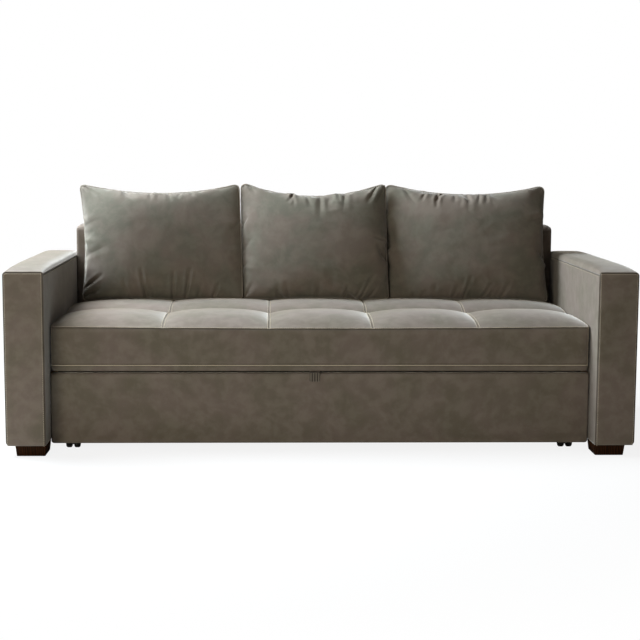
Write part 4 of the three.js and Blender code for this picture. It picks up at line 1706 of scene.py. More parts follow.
@dataclass(frozen=True)
class Fold:
    """A crease in a pillow's front, from its edge inwards, in shares of half its size."""

    start: tuple[float, float]
    end: tuple[float, float]
    width: float
    depth: float
    press_depth: float = 1.3
    sharpness: float = 1.7
    widening: tuple[float, float] = (0.7, 0.6)
    lip: float = 0.32
    lip_place: float = 1.6
    lip_width: float = 0.7
    fading: float = 0.55

    def press(self, flat: np.ndarray, half: np.ndarray) -> np.ndarray:
        """Gives how far the fold presses the cloth in.

        Args:
            flat: places on the flat cover.
            half: half the cover's width and height.

        Returns:
            One depth for each place: a sharp valley with a low lip on both sides.
        """
        start, end = np.array(self.start) * half, np.array(self.end) * half
        way = end - start
        length = np.linalg.norm(way)
        share = np.clip(((flat - start) @ way) / length**2, 0, 1)
        aside = np.abs((flat - start) @ np.array([-way[1], way[0]])) / length
        across = aside / (self.width * (self.widening[0] + self.widening[1] * share))
        lip = self.lip * np.exp(-(((across - self.lip_place) / self.lip_width) ** 2))
        valley = np.exp(-self.sharpness * across) - lip
        strongest = np.sin(math.pi * share**self.fading)
        return self.press_depth * self.depth * valley * strongest


def folds_from(*rows: tuple[float, float, float, float, float, float]) -> tuple[Fold, ...]:
    """Makes folds from rows of start and end in shares, and width and depth in mm."""
    return tuple(Fold((a, b), (c, d), w * MM, e * MM) for a, b, c, d, w, e in rows)


@dataclass
class BackPillow(SofaPart):
    """A loose knife-edge pillow with a corded edge, leaning on the back."""

    name: str
    seed: int
    folds: tuple[Fold, ...] = ()
    step: float = 8 * MM
    height: float = 474 * MM
    thickness: float = 190 * MM
    edge: float = 3 * MM
    corner_radius: float = 18 * MM
    row_gap: float = 7 * MM
    lean: float = 8.0
    slant: float = 1.3
    tilt: float = 0.0
    turn: float = 2.4
    outset: tuple[float, float] = (0.0, 0.0)
    loft: float = -6 * MM
    slump: float = 0.10
    side_bow: float = 0.05
    side_dips: tuple[float, float] = (4 * MM, 4 * MM)
    top_dip: float = 30 * MM
    bottom_dip: float = 1 * MM
    ear_share: float = 0.91
    fullest: float = 0.12
    roundness: float = 2.4
    evenness: float = 0.65
    cord_radius: float = 3 * MM
    rest_gap: float = 1.5 * MM
    first_puff: float = 12 * MM
    puff_wave: float = 130 * MM
    rim_power: float = 2.1
    swell_height: float = 2.6
    swell_power: float = 0.7
    quick_roundness: float = 2.7
    quick_power: float = 0.56
    quick_pull: tuple[float, float] = (0.07, 0.12)
    back_softness: float = 4 * MM
    seat_softness: float = 3 * MM
    seat_reach: float = 90 * MM
    seam_reach: float = 5 * MM
    wear_inset: float = 9 * MM
    wear_width: float = 8 * MM
    filling: Filling = Filling(2.3, 26, 0.012, 12, 0.8)

    def __post_init__(self) -> None:
        """Works out the pillow's width from its space in the frame."""
        self.low, self.high = node_box(self.name)
        self.low[0] -= self.outset[0]
        self.high[0] += self.outset[1]
        spread = self.high[0] - self.low[0]
        self.width = spread - self.height * math.tan(math.radians(self.slant))

    def cut_cover(self) -> bpy.types.Object:
        """Makes the flat cover, two sheets of cloth sewn round their edges, and returns it."""
        x, z = self.width / 2, self.height / 2
        edges = [0, self.row_gap, *(self.corner_radius * s for s in (0.35, 1.0))]
        xs = spread_lines(-x, x, self.step, beside([-x, x], edges))
        zs = spread_lines(-z, z, self.step, beside([-z, z], edges))
        half_edge = self.edge / 2
        lattice, quads = LatticeBox((xs, np.array([-half_edge, half_edge]), zs)).surface()
        points = lattice.copy()
        Rounding((0, 2), (-x, 0, -z), (x, 0, z), all_four(self.corner_radius)).apply(points)
        across, up, face = lattice[:, 0] / x, lattice[:, 2] / z, np.sign(lattice[:, 1])
        uneven = 1 + 0.25 * ripple(lattice, self.seed, self.puff_wave)
        points[:, 1] += face * (swell(across, 4) * swell(up, 4)) * uneven * self.first_puff
        points[:, 0] *= 1 + self.side_bow * swell(up, 2)
        cover = make_piece(f"{self.name}_cover", points, quads, self.book.pillow)
        store(cover.data, LATTICE_ATTRIBUTE, lattice)
        self.filling.set_up(cover, np.array([], int))
        return cover

    def draw_rim(self, points: np.ndarray, lattice: np.ndarray) -> None:
        """Draws the sewn edge into the smooth curve that its cord holds.

        Args:
            points: the filled pillow's points, changed in place.
            lattice: their places on the flat cover.
        """
        dips = {0: self.side_dips, 2: (self.bottom_dip, self.top_dip)}
        half = {0: self.width / 2, 2: self.height / 2}
        for axis, along in ((0, 2), (2, 0)):
            place, beside_it = lattice[:, axis] / half[axis], lattice[:, along] / half[along]
            for sign, dip in zip((-1, 1), dips[axis]):
                rim = np.flatnonzero(np.abs(place - sign) < EXACT / half[axis])
                rim = rim[np.argsort(beside_it[rim])]
                now = np.interp(beside_it, beside_it[rim], points[rim, axis])
                drawn = dip * swell(beside_it / self.ear_share, self.rim_power)
                target = sign * (half[axis] - drawn)
                points[:, axis] += (target - now) * np.clip(sign * place, 0, 1) ** 3
        low, high = (-half[0], 0, -half[2]), (half[0], 0, half[2])
        Rounding((0, 2), low, high, all_four(self.corner_radius)).apply(points)

    def even_out(self, points: np.ndarray, lattice: np.ndarray) -> None:
        """Brings the filled pillow nearer to a fibre pillow's even, round swell.

        Args:
            points: the filled pillow's points, changed in place.
            lattice: their places on the flat cover.
        """
        across, up = lattice[:, 0] / (self.width / 2), lattice[:, 2] / (self.height / 2)
        across = across - self.fullest * swell(across, 2)
        body = swell(across, self.roundness) * swell(up, self.swell_height)
        body = body**self.swell_power
        even = np.sign(lattice[:, 1]) * (self.edge / 2 + body * self.thickness / 2)
        points[:, 1] += self.evenness * (even - points[:, 1])

    def crease(self, points: np.ndarray, lattice: np.ndarray) -> None:
        """Presses the pillow's folds into its front.

        Args:
            points: the evened pillow's points, changed in place.
            lattice: their places on the flat cover.
        """
        half = np.array([self.width / 2, self.height / 2])
        front = np.clip(-lattice[:, 1] / (self.edge / 2), 0, 1)
        for fold in self.folds:
            points[:, 1] += fold.press(lattice[:, (0, 2)], half) * front

    def settle(self, cover: bpy.types.Object, seat: BVHTree) -> None:
        """Sizes the filled pillow, leans it on the back and sets it on the seat.

        Args:
            cover: the filled cover.
            seat: the seat cushion's surface.
        """
        points = read_vectors(cover.data.vertices, "co")
        lattice = stored(cover.data, LATTICE_ATTRIBUTE)
        size = points.max(axis=0) - points.min(axis=0)
        points -= (points.max(axis=0) + points.min(axis=0)) / 2
        points *= np.array([self.width, self.thickness, self.height]) / size
        self.draw_rim(points, lattice)
        self.even_out(points, lattice)
        down = points[:, 2] / (self.height / 2)
        points[:, 1] *= 1 - self.slump * down - 0.5 * self.slump * np.maximum(0, down) ** 2
        set_points(cover, points)
        subdivide(cover)
        points = read_vectors(cover.data.vertices, "co")
        self.crease(points, stored(cover.data, LATTICE_ATTRIBUTE))
        lean = math.radians(self.lean)
        x = points[:, 0] - points[:, 2] * math.tan(math.radians(self.slant))
        z = points[:, 2] + points[:, 0] * math.tan(math.radians(self.tilt))
        y = points[:, 1] * math.cos(lean) + z * math.sin(lean)
        y -= points[:, 0] * math.tan(math.radians(self.turn))
        z = z * math.cos(lean) - points[:, 1] * math.sin(lean)
        placed = np.stack([x, y, z], axis=1)
        placed[:, 0] += (self.low[0] + self.high[0] - x.min() - x.max()) / 2
        placed[:, 1] += self.low[1] - y.min()
        placed[:, 2] += self.high[2] + self.loft - z.max()
        back = self.high[1] - self.rest_gap
        placed[:, 1] = soft_ceiling(placed[:, 1], back, self.back_softness)
        self.rest_on(placed, seat)
        set_points(cover, placed)

    def rest_on(self, points: np.ndarray, seat: BVHTree) -> None:
        """Lifts what would sink into the seat onto its surface.

        Args:
            points: the pillow's points, changed in place.
            seat: the seat cushion's surface.
        """
        down = Vector((0, 0, -1))
        for i in np.flatnonzero(points[:, 2] < self.low[2] + self.seat_reach):
            x, y, z = points[i]
            hit = seat.ray_cast(Vector((x, y, self.high[2])), down)
            floor = hit[0].z + self.cord_radius if hit[0] else self.low[2]
            points[i, 2] = -float(soft_ceiling(np.array([-z]), -floor, self.seat_softness)[0])

    def dress(self, cover: bpy.types.Object) -> None:
        """Cords the settled pillow's edge, sews it and puts it on its body."""
        placed = PlacedCloth(cover)
        flat = placed.lattice[:, (0, 2)]
        half = (self.width / 2, self.height / 2)
        rim = np.flatnonzero(np.abs(placed.lattice[:, 1]) < EXACT)
        rim = [placed.points[rim[ring_order(flat[rim], half)]]]
        radius = {"Cord Radius": self.cord_radius}
        name = f"{self.name}_piping"
        cord = self.sewing.piping.run(name, rim, self.book.piping, radius, closed=True)
        inward = np.min(np.array(half) - np.abs(flat), axis=1)
        rubbed = (inward - self.wear_inset) / self.wear_width
        # Painted shade on the cloth beside the corded edge
        store(cover.data, SEAM_SHADE_ATTRIBUTE, np.exp(-((inward / self.seam_reach) ** 2)))
        store(cover.data, WEAR_ATTRIBUTE, 0.5 * np.exp(-(rubbed**2)))
        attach(cover, self.name)
        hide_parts(self.name)
        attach(cord, self.name)
        faces, width = len(cover.data.polygons), self.width / MM
        LOG.info("%s: %d faces, %.0f mm wide", self.name, faces, width)


def soft_ceiling(values: np.ndarray, ceiling: float, softness: float) -> np.ndarray:
    """Keeps values below a ceiling, bending them smoothly as they come near it."""
    over = np.clip((values - ceiling) / softness, -50, 50)
    return np.where(over > 40, ceiling, values - softness * np.log1p(np.exp(over)))


# Bed


@dataclass
class BedMattress(SofaPart):
    """The pull-out's mattress: quilted ticking with a corded edge above and below."""

    step: float = 11 * MM
    corner_radius: float = 30 * MM
    edge_radius: float = 9 * MM
    crown: float = 5 * MM
    quilt: float = 150 * MM
    quilt_width: float = 9 * MM
    quilt_depth: float = 5 * MM
    # Reach and darkness of the painted shade along the quilting lines
    seam_width: float = 3 * MM
    seam_darkness: float = 0.6
    side_swell: float = 2 * MM
    cord_radius: float = 3.2 * MM

    def build(self) -> None:
        """Makes the mattress and its two cords."""
        low, high = node_box("bed_mattress")
        low[:2] += self.cord_radius
        high[:2] -= self.cord_radius
        middle, half = (low + high) / 2, (high - low) / 2
        ceiling = high.copy()
        ceiling[2] -= self.crown
        top = ceiling[2]
        edge = [self.edge_radius / 2, self.edge_radius]
        plan = [
            spread_lines(low[axis], high[axis], self.step, [
                *end_marks(low[axis], high[axis], self.corner_radius, 3),
                *beside([low[axis], high[axis]], edge),
            ])
            for axis in (0, 1)
        ]
        zs = spread_lines(low[2], top, self.step, beside([low[2], top], edge))
        lattice, quads = LatticeBox((*plan, zs)).surface()
        place = (lattice - middle) / half
        points = lattice.copy()
        for axes, radius in (
            ((0, 2), self.edge_radius),
            ((1, 2), self.edge_radius),
            ((0, 1), self.corner_radius),
        ):
            Rounding(axes, low, ceiling, all_four(radius)).apply(points)
        inside = swell(place[:, 0], 8) * swell(place[:, 1], 8)
        slants = [(lattice[:, 0] + s * lattice[:, 1]) / self.quilt for s in (-1, 1)]
        to_line = np.min([np.abs(s - np.round(s)) for s in slants], axis=0) * self.quilt
        sewn = np.exp(-((to_line / self.quilt_width) ** 2))
        on_top = lattice[:, 2] > top - EXACT
        points[on_top, 2] += (inside * (self.crown - self.quilt_depth * sewn))[on_top]
        band = swell((lattice[:, 2] - (low[2] + top) / 2) / ((top - low[2]) / 2), 2)
        for axis in (0, 1):
            side = np.abs(place[:, axis]) > 1 - EXACT
            points[side, axis] += (np.sign(place[:, axis]) * band * self.side_swell)[side]
        mattress = make_piece("quilted_mattress", points, quads, self.book.ticking)
        store(mattress.data, LATTICE_ATTRIBUTE, lattice)
        # Painted shade along the quilting lines on the top
        shade = self.seam_darkness * np.exp(-((to_line / self.seam_width) ** 2))
        store(mattress.data, SEAM_SHADE_ATTRIBUTE, np.where(on_top, shade, 0))
        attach(mattress, "bed")
        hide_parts("bed_mattress")
        rings = []
        for level in (low[2] + self.edge_radius, top - self.edge_radius):
            near = np.flatnonzero(np.abs(lattice[:, 2] - level) < EXACT)
            order = ring_order((lattice[near][:, :2] - middle[:2]), (half[0], half[1]))
            rings.append(points[near[order]])
        name, radius = "mattress_edge_cords", {"Cord Radius": self.cord_radius}
        cords = self.sewing.piping.run(name, rings, self.book.ticking, radius, closed=True)
        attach(cords, "bed")
        LOG.info("mattress: %d faces", len(mattress.data.polygons))


@dataclass
class PullStrap(SofaPart):
    """The ribbed webbing tab that hangs over the front panel's top edge."""

    rib_count: int = 4
    rib_height: float = 1.1 * MM
    rib_power: float = 1.2
    valley_power: float = 0.8
    end_power: float = 14
    corner_radius: float = 5 * MM
    step: float = 1.4 * MM

    def build(self) -> None:
        """Makes the tab: a flat band with raised ribs and painted shade between them, rounded at
        its lower corners.
        """
        low, high = node_box("pull_strap_tab")
        front = low[1] + self.rib_height
        sides = end_marks(low[0], high[0], self.corner_radius, 3)
        foot = corner_marks(low[2], self.corner_radius, 1, 3)
        xs = spread_lines(low[0], high[0], self.step, sides)
        ys = spread_lines(front, high[1], self.step, [])
        zs = spread_lines(low[2], high[2], 2 * self.step, foot)
        lattice, quads = LatticeBox((xs, ys, zs)).surface()
        points = lattice.copy()
        corners = {(s, -1): self.corner_radius for s in (-1, 1)}
        Rounding((0, 2), low, high, corners).apply(points)
        share = (lattice[:, 0] - low[0]) / (high[0] - low[0])
        rib = np.abs(np.sin(share * math.pi * self.rib_count)) ** self.rib_power
        up = (lattice[:, 2] - (low[2] + high[2]) / 2) / ((high[2] - low[2]) / 2)
        ends = swell(up, self.end_power)
        on_front = lattice[:, 1] < front + EXACT
        points[on_front, 1] -= (self.rib_height * rib * ends)[on_front]
        tab = make_piece("ribbed_pull_tab", points, quads, self.book.webbing)
        # Painted shade in the valleys between the ribs
        valley_shade = np.where(on_front, (1 - rib) ** self.valley_power, 0)
        store(tab.data, SEAM_SHADE_ATTRIBUTE, valley_shade)
        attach(tab, "pull_tab")
        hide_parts("pull_strap_tab")
        LOG.info("pull tab: %d ribs", self.rib_count)


@dataclass
class DeckCloth(SofaPart):
    """The black dust cloth that wraps the seat deck's front edge: a dark sheet that stands in for
    the shade of the gap below it.
    """

    node: str = "deck_front_rail"
    slats: str = "seat_slat_1"
    thickness: float = 1.2 * MM
    side_gap: float = 4 * MM
    clearance: float = 0.4 * MM

    def build(self) -> None:
        """Makes the strip of cloth, the gap's painted shade."""
        low, high = node_box(self.node)
        slat = node_box(self.slats)
        front = min(low[1], slat[0][1]) - self.clearance
        corner = np.array([low[0] + self.side_gap, front - self.thickness, low[2]])
        far = np.array([high[0] - self.side_gap, front, slat[1][2] - self.clearance])
        points, faces = rounded_block(corner, far, self.thickness / 3, self.thickness / 3)
        cloth = make_piece("deck_dust_cloth", points, faces, self.book.dust_cloth)
        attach(cloth, "sofa")


# Feet and casters


@dataclass
class BlockFoot(SofaPart):
    """A square stained block that narrows towards the floor, with eased edges."""

    node: str
    taper: float = 4.5 * MM
    radius: float = 3 * MM
    step: float = 14 * MM

    def build(self) -> None:
        """Makes the foot, square at its top where it meets the arm."""
        low, high = node_box(self.node)
        spans = list(zip(low, high))
        lines = [spread_lines(*s, self.step, end_marks(*s, self.radius, 2)) for s in spans]
        points, quads = LatticeBox(tuple(lines)).surface()
        for axes in ((0, 2), (1, 2), (0, 1)):
            corners = all_four(self.radius)
            if 2 in axes:
                corners = {(s, -1): self.radius for s in (-1, 1)}
            Rounding(axes, low, high, corners).apply(points)
        middle, half = (low + high) / 2, (high - low) / 2
        share = 1 - self.taper / half[0] * (high[2] - points[:, 2]) / (high[2] - low[2])
        for axis in (0, 1):
            points[:, axis] = middle[axis] + (points[:, axis] - middle[axis]) * share
        foot = make_piece(f"{self.node}_block", points, quads, self.book.foot)
        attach(foot, "sofa")
        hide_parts(self.node)


def turned(
    name: str,
    outline: Sequence[tuple[float, float]],
    centre: Sequence[float],
    finish: bpy.types.Material,
    closed: bool,
    sides: int = 40,
) -> bpy.types.Object:
    """Turns an outline about an axis along X.

    Args:
        name: the piece's name.
        outline: (place along X, radius) points, from low X to high X.
        centre: the middle of the axis.
        finish: its material.
        closed: whether the outline joins its own start, as a tyre's does.
        sides: how many faces go round.

    Returns:
        The turned piece.
    """
    angles = np.arange(sides) * 2 * math.pi / sides
    ring = np.stack([np.zeros(sides), np.cos(angles), np.sin(angles)], axis=1)
    points = [np.array([along, 0, 0]) + ring * [0, radius, radius] for along, radius in outline]
    count = len(outline)
    faces: list[Sequence[int]] = []
    for k in range(count if closed else count - 1):
        here, there = k * sides, (k + 1) % count * sides
        for i in range(sides):
            j = (i + 1) % sides
            faces.append((here + i, here + j, there + j, there + i))
    if not closed:
        faces.append(tuple(reversed(range(sides))))
        faces.append(tuple((count - 1) * sides + i for i in range(sides)))
    return make_piece(name, np.concatenate(points) + np.array(centre), faces, finish)


@dataclass
class TwinCaster(SofaPart):
    """A twin-wheel caster: rubber tyres on nylon hubs, under a hooded plate with four screws."""

    end: str
    side: Side
    wheel_width: float = 20 * MM
    tyre_depth: float = 5 * MM
    hub_recess: float = 2.5 * MM
    rim: float = 3 * MM
    bore: float = 4 * MM
    hood_wall: float = 2.2 * MM
    hood_gap: float = 1.2 * MM
    leaf: float = 7 * MM
    plate: float = 3 * MM
    plate_radii: tuple[float, float] = (2.5 * MM, 1 * MM)
    leaf_radii: tuple[float, float] = (2 * MM, 1.5 * MM)
    boss_sizes: tuple[float, float] = (2.4, 2.1)
    shoulder: float = 0.8 * MM
    face_step: float = 1 * MM
    overlap: float = 0.2 * MM
    spoke_count: int = 6
    spoke_width: float = 2.4 * MM
    spoke_height: float = 1.6 * MM
    spoke_quads: tuple[tuple[int, ...], ...] = (
        (0, 1, 3, 2), (4, 6, 7, 5), (0, 2, 6, 4), (1, 5, 7, 3), (2, 3, 7, 6), (0, 4, 5, 1)
    )
    hood_span: tuple[float, float] = (28, 152)
    hood_steps: int = 20
    hood_inset: float = 0.6 * MM
    screw_inset: float = 7 * MM

    def build(self) -> None:
        """Makes the caster's wheels and its hooded fork."""
        corner = f"{self.end}_{self.side.word}"
        body = f"{corner}_wheels"
        low, high = node_box(f"{corner}_caster_wheels")
        self.centre = (low + high) / 2
        self.radius = (high[2] - low[2]) / 2
        self.half_width = (high[0] - low[0]) / 2
        for sign, which in ((-1, "outer"), (1, "inner")):
            self.wheel(f"{corner}_{which}", sign, body)
        reach = self.half_width - self.rim
        outline = [(-reach, self.bore), (reach, self.bore)]
        steel = self.book.steel
        axle = turned(f"{corner}_axle", outline, self.centre, steel, closed=False, sides=20)
        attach(axle, body)
        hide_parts(f"{corner}_caster_wheels")
        self.fork(corner)

    def wheel(self, name: str, sign: int, body: str) -> None:
        """Makes one wheel's tyre and its dished, spoked hub.

        Args:
            name: what the wheel's pieces are called.
            sign: which end of the axle it is on.
            body: the frame body that turns.
        """
        w, r = self.wheel_width / 2, self.radius
        inner = r - self.tyre_depth
        shoulder = r - self.shoulder
        tyre = [(-w, inner), (-w, r - self.rim), (-w * 0.8, shoulder), (-w * 0.5, r)]
        tyre += [(w * 0.5, r), (w * 0.8, shoulder), (w, r - self.rim), (w, inner)]
        middle = self.centre + np.array([sign * (self.half_width - w), 0, 0])
        face = w - self.face_step
        dish = face - self.hub_recess
        seat, lip = inner - self.overlap, inner - self.rim
        floor, (boss, mouth) = lip - self.face_step, (self.bore * size for size in self.boss_sizes)
        hub = [(-face, lip), (-face, seat), (face, seat), (face, lip), (dish, floor), (dish, boss)]
        hub += [(face, mouth), (face, self.bore), (-face, self.bore), (-face, mouth)]
        hub += [(-dish, boss), (-dish, floor)]
        parts = (
            turned(f"{name}_tyre", tyre, middle, self.book.rubber, closed=True),
            turned(f"{name}_hub", hub, middle, self.book.nylon, closed=True),
        )
        for part, slot in zip(parts, (Slot.RUBBER, Slot.PLASTIC)):
            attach(part, body)
        self.spokes(f"{name}_hub_spokes", middle, (dish, inner), body)

    def spokes(
        self, name: str, middle: np.ndarray, hub: tuple[float, float], body: str
    ) -> None:
        """Makes the raised spokes on both faces of a hub.

        Args:
            name: the piece's name.
            middle: the wheel's middle.
            hub: how far its dished face stands from the middle, and its outer radius.
            body: the frame body that turns.
        """
        dish, inner = hub
        points, faces = [], []
        for k in range(self.spoke_count):
            angle = 2 * math.pi * k / self.spoke_count
            ray = np.array([0, math.cos(angle), math.sin(angle)])
            across = np.array([0, -math.sin(angle), math.cos(angle)]) * self.spoke_width / 2
            for sign in (-1, 1):
                start = len(points)
                base = np.array([sign * (dish - self.overlap), 0, 0])
                crest = np.array([sign * (dish + self.spoke_height), 0, 0])
                for reach in (self.bore * 2, inner - self.rim - 2 * self.overlap):
                    for level, narrow in ((base, 1.0), (crest, 0.6)):
                        for way in (-1, 1):
                            points.append(middle + level + ray * reach + across * narrow * way)
                for quad in self.spoke_quads:
                    turn = quad if sign < 0 else quad[::-1]
                    faces.append(tuple(start + i for i in turn))
        spokes = make_piece(name, np.array(points), faces, self.book.nylon)
        spokes.data.shade_flat()
        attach(spokes, body)

    def fork(self, corner: str) -> None:
        """Makes the plate, the leaf between the wheels, the hood over them and four screws.

        Args:
            corner: the caster's place, such as front_left.
        """
        node = f"{corner}_caster_fork"
        low, high = node_box(node)
        under = high[2] - self.plate
        plate = rounded_block(np.array([*low[:2], under]), high, *self.plate_radii)
        leaf_low = self.centre - np.array([self.leaf / 2, self.bore * 3, self.bore * 3])
        leaf_high = self.centre + np.array([self.leaf / 2, self.bore * 3, 0])
        leaf_high[2] = high[2] - self.plate / 2
        leaf = rounded_block(leaf_low, leaf_high, *self.leaf_radii)
        points, faces = joined(plate, leaf, self.hood())
        fork = make_piece(f"{corner}_caster_hooded_fork", points, faces, self.book.nylon)
        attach(fork, "bed")
        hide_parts(node)
        xs, ys = ((low[a] + self.screw_inset, high[a] - self.screw_inset) for a in (0, 1))
        spots = [(x, y, under) for x in xs for y in ys]
        screws = fixed_screws(f"{corner}_caster_screws", spots, self.book.steel)
        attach(screws, "bed")

    def hood(self) -> tuple[np.ndarray, list[Sequence[int]]]:
        """Gives the curved hood over the wheels.

        Returns:
            Its points and faces.
        """
        inner = self.radius + self.hood_gap
        outer = inner + self.hood_wall
        steps, (start, end) = self.hood_steps, np.radians(self.hood_span)
        half = self.half_width - self.hood_inset
        points, faces = [], []
        for k in range(steps + 1):
            angle = start + (end - start) * k / steps
            ray = np.array([0, math.cos(angle), math.sin(angle)])
            for along, reach in ((-half, inner), (-half, outer), (half, outer), (half, inner)):
                points.append(self.centre + ray * reach + np.array([along, 0, 0]))
        for k in range(steps):
            for i in range(4):
                j = (i + 1) % 4
                faces.append((4 * k + i, 4 * k + 4 + i, 4 * k + 4 + j, 4 * k + j))
        last = 4 * steps
        faces += [(0, 1, 2, 3), (last + 3, last + 2, last + 1, last)]
        return np.array(points), faces


def joined(*blocks: tuple[np.ndarray, Sequence[Sequence[int]]]) -> tuple[np.ndarray, list]:
    """Puts several blocks' points and faces together as one."""
    faces: list[Sequence[int]] = []
    start = 0
    for points, quads in blocks:
        faces += [[i + start for i in quad] for quad in quads]
        start += len(points)
    return np.concatenate([points for points, _ in blocks]), faces


def rounded_block(
    low: np.ndarray,
    high: np.ndarray,
    plan_radius: float,
    edge_radius: float,
    step: float = 20 * MM,
) -> tuple[np.ndarray, np.ndarray]:
    """Gives a small block with rounded corners and eased edges.

    Args:
        low: its lowest corner.
        high: its highest corner.
        plan_radius: the radius of its upright edges.
        edge_radius: the radius of its other edges.
        step: the widest gap between its lines.

    Returns:
        Its points and faces.
    """
    lines = []
    for axis in range(3):
        radii = {plan_radius if axis < 2 else edge_radius, edge_radius}
        marks = [mark for r in radii for mark in end_marks(low[axis], high[axis], r, 2)]
        lines.append(spread_lines(low[axis], high[axis], step, marks))
    points, quads = LatticeBox(tuple(lines)).surface()
    for across in ((0, 2), (1, 2), (0, 1)):
        radius = plan_radius if across == (0, 1) else edge_radius
        Rounding(across, low, high, all_four(radius)).apply(points)
    return points, quads


def fixed_screws(
    name: str, spots: Sequence[tuple[float, float, float]], finish: bpy.types.Material
) -> bpy.types.Object:
    """Sets domed screw heads, facing down, on given spots by Geometry Nodes.

    Args:
        name: the piece's name.
        spots: where each head sits.
        finish: the screws' material.

    Returns:
        The screws as one piece.
    """
    work = SewingTree(name, {"Head Radius": 3.4 * MM, "Head Height": 1.8 * MM})
    spot = work.add("GeometryNodeMeshToPoints", {"Mesh": work.start["Rows"]})
    dome = {"Segments": 16, "Rings": 8, "Radius": 1.0}
    work.balls(spot, dome, ("Head Radius", "Head Radius", "Head Height"))
    return work.run(name, [np.array(spots)], finish)


# Studio


@dataclass(frozen=True)
class Softbox:
    """A square soft lamp: where it hangs, its side, its power and its colour."""

    name: str
    place: tuple[float, float, float]
    size: float
    power: float
    colour: tuple[float, float, float] = (1, 1, 1)

    def hang(self) -> None:
        """Adds the lamp, facing the sofa."""
        light = bpy.data.lights.new(self.name, "AREA")
        light.size = self.size
        light.energy = self.power
        light.color = self.colour
        lamp = bpy.data.objects.new(self.name, light)
        lamp.location = self.place
        aim = Vector((0, 0, 0.45)) - Vector(self.place)
        lamp.rotation_euler = aim.to_track_quat("-Z", "Y").to_euler()
        bpy.context.scene.collection.objects.link(lamp)


@dataclass
class Studio:
    """A pale studio: a white floor and world, soft light from the upper left, and the camera."""

    camera_place: tuple[float, float, float] = (-0.1852, -5.2957, 1.1053)
    camera_pitch: float = 6.58
    camera_yaw: float = 1.26
    camera_roll: float = 0.18
    focal_pixels: float = 1359.3
    frame_pixels: float = 640.0
    shift: tuple[float, float] = (0.03125, -0.0234)
    floor_half: float = 14.0
    floor_lit: str = "c9c7c3"
    floor_seen: str = "fafafa"
    shadow_share: float = 0.14
    shadow_reach: tuple[float, float] = (1.3, 2.6)
    world_level: float = 0.05
    softboxes: tuple[Softbox, ...] = (
        Softbox("key_softbox", (-2.0, 0.6, 2.8), 1.8, 200, (0.92, 0.97, 1.0)),
        Softbox("side_softbox", (-2.6, 0.0, 2.2), 1.2, 76, (0.74, 0.88, 1.0)),
        Softbox("front_softbox", (-2.5, -5.0, 1.7), 2.0, 80, (1.0, 0.91, 0.74)),
        Softbox("fill_softbox", (2.5, -5.0, 1.2), 2.0, 10, (1.0, 0.76, 0.56)),
    )

    def build(self) -> None:
        """Makes the floor, the world, the lamps and the camera."""
        self.floor()
        self.world()
        for softbox in self.softboxes:
            softbox.hang()
        self.camera()

    def floor(self) -> None:
        """Makes the pale floor, which the camera sees as white with the sofa's shadow."""
        size = self.floor_half
        points = np.array([(-size, -size, 0), (size, -size, 0), (size, size, 0), (-size, size, 0)])
        sheet = ShaderSheet("pale_studio_floor")
        ray = sheet.add("LightPath").outputs["Is Camera Ray"]
        shade = sheet.blend(ray, linear(self.floor_lit), linear(self.floor_seen))
        matt = sheet.add("BsdfDiffuse", {"Color": shade})
        glow = sheet.add("Emission", {"Color": (1, 1, 1, 1), "Strength": 1.0})
        away = sheet.add("VectorMath", {"operation": "LENGTH", 0: sheet.place})
        near, far = self.shadow_reach
        white = sheet.remap(away.outputs["Value"], near, far, 1 - self.shadow_share, 1)
        share = sheet.sums("MULTIPLY", ray, white)
        both = sheet.add("MixShader", {0: share, 1: matt.outputs[0], 2: glow.outputs[0]})
        sheet.add("OutputMaterial", {"Surface": both.outputs[0]})
        floor = make_piece("studio_floor", points, [(0, 1, 2, 3)], sheet.material)

    def world(self) -> None:
        """Makes the world: white to the camera, and much softer as light."""
        world = bpy.data.worlds.new("studio_world")
        bpy.context.scene.world = world
        world.use_nodes = True
        tree = world.node_tree
        tree.nodes.clear()
        path = add_node(tree, "ShaderNodeLightPath")
        kinds = enumerate(("Camera", "Transmission"))
        rays = {i: path.outputs[f"Is {kind} Ray"] for i, kind in kinds}
        seen = add_node(tree, "ShaderNodeMath", {"operation": "MAXIMUM", **rays})
        levels = {"To Min": self.world_level, "To Max": 1.0, "Value": seen.outputs[0]}
        level = add_node(tree, "ShaderNodeMapRange", levels)
        shine = {"Color": (1, 1, 1, 1), "Strength": level.outputs["Result"]}
        glow = add_node(tree, "ShaderNodeBackground", shine)
        add_node(tree, "ShaderNodeOutputWorld", {"Surface": glow.outputs[0]})

    def camera(self) -> None:
        """Makes the camera at the photograph's view."""
        lens = bpy.data.cameras.new("photo_camera")
        lens.sensor_width = 36.0
        lens.lens = self.focal_pixels / self.frame_pixels * lens.sensor_width
        lens.shift_x, lens.shift_y = self.shift
        lens.clip_start, lens.clip_end = 0.1, 100
        eye = bpy.data.objects.new("photo_camera", lens)
        eye.location = self.camera_place
        tilt, turn = math.radians(90 - self.camera_pitch), -math.radians(self.camera_yaw)
        roll = Euler((0, 0, math.radians(self.camera_roll))).to_matrix()
        eye.rotation_euler = (Euler((tilt, 0, turn)).to_matrix() @ roll).to_euler()
        bpy.context.scene.collection.objects.link(eye)
        bpy.context.scene.camera = eye


# The whole sofa


def dress_frame(nodes: dict[str, bpy.types.Object], book: FinishBook) -> None:
    """Gives every frame node its finish.

    Args:
        nodes: the frame's nodes by name.
        book: the finishes.
    """
    finishes = book.by_slot()
    boards = (Slot.PLYWOOD.value, Slot.SLAT.value)
    for name, node in nodes.items():
        low, high = node_box(name)
        for place in node.material_slots:
            slot = place.material.name if place.material else ""
            if slot in boards:
                place.material = book.board(slot, high - low)
            elif slot in finishes:
                place.material = finishes[slot]
    LOG.info("%d frame nodes have their finish", len(nodes))


def seat_surface(cover: bpy.types.Object) -> BVHTree:
    """Gives the seat's surface for pillows to rest on."""
    points = [v.co.copy() for v in cover.data.vertices]
    return BVHTree.FromPolygons(points, [tuple(p.vertices) for p in cover.data.polygons])


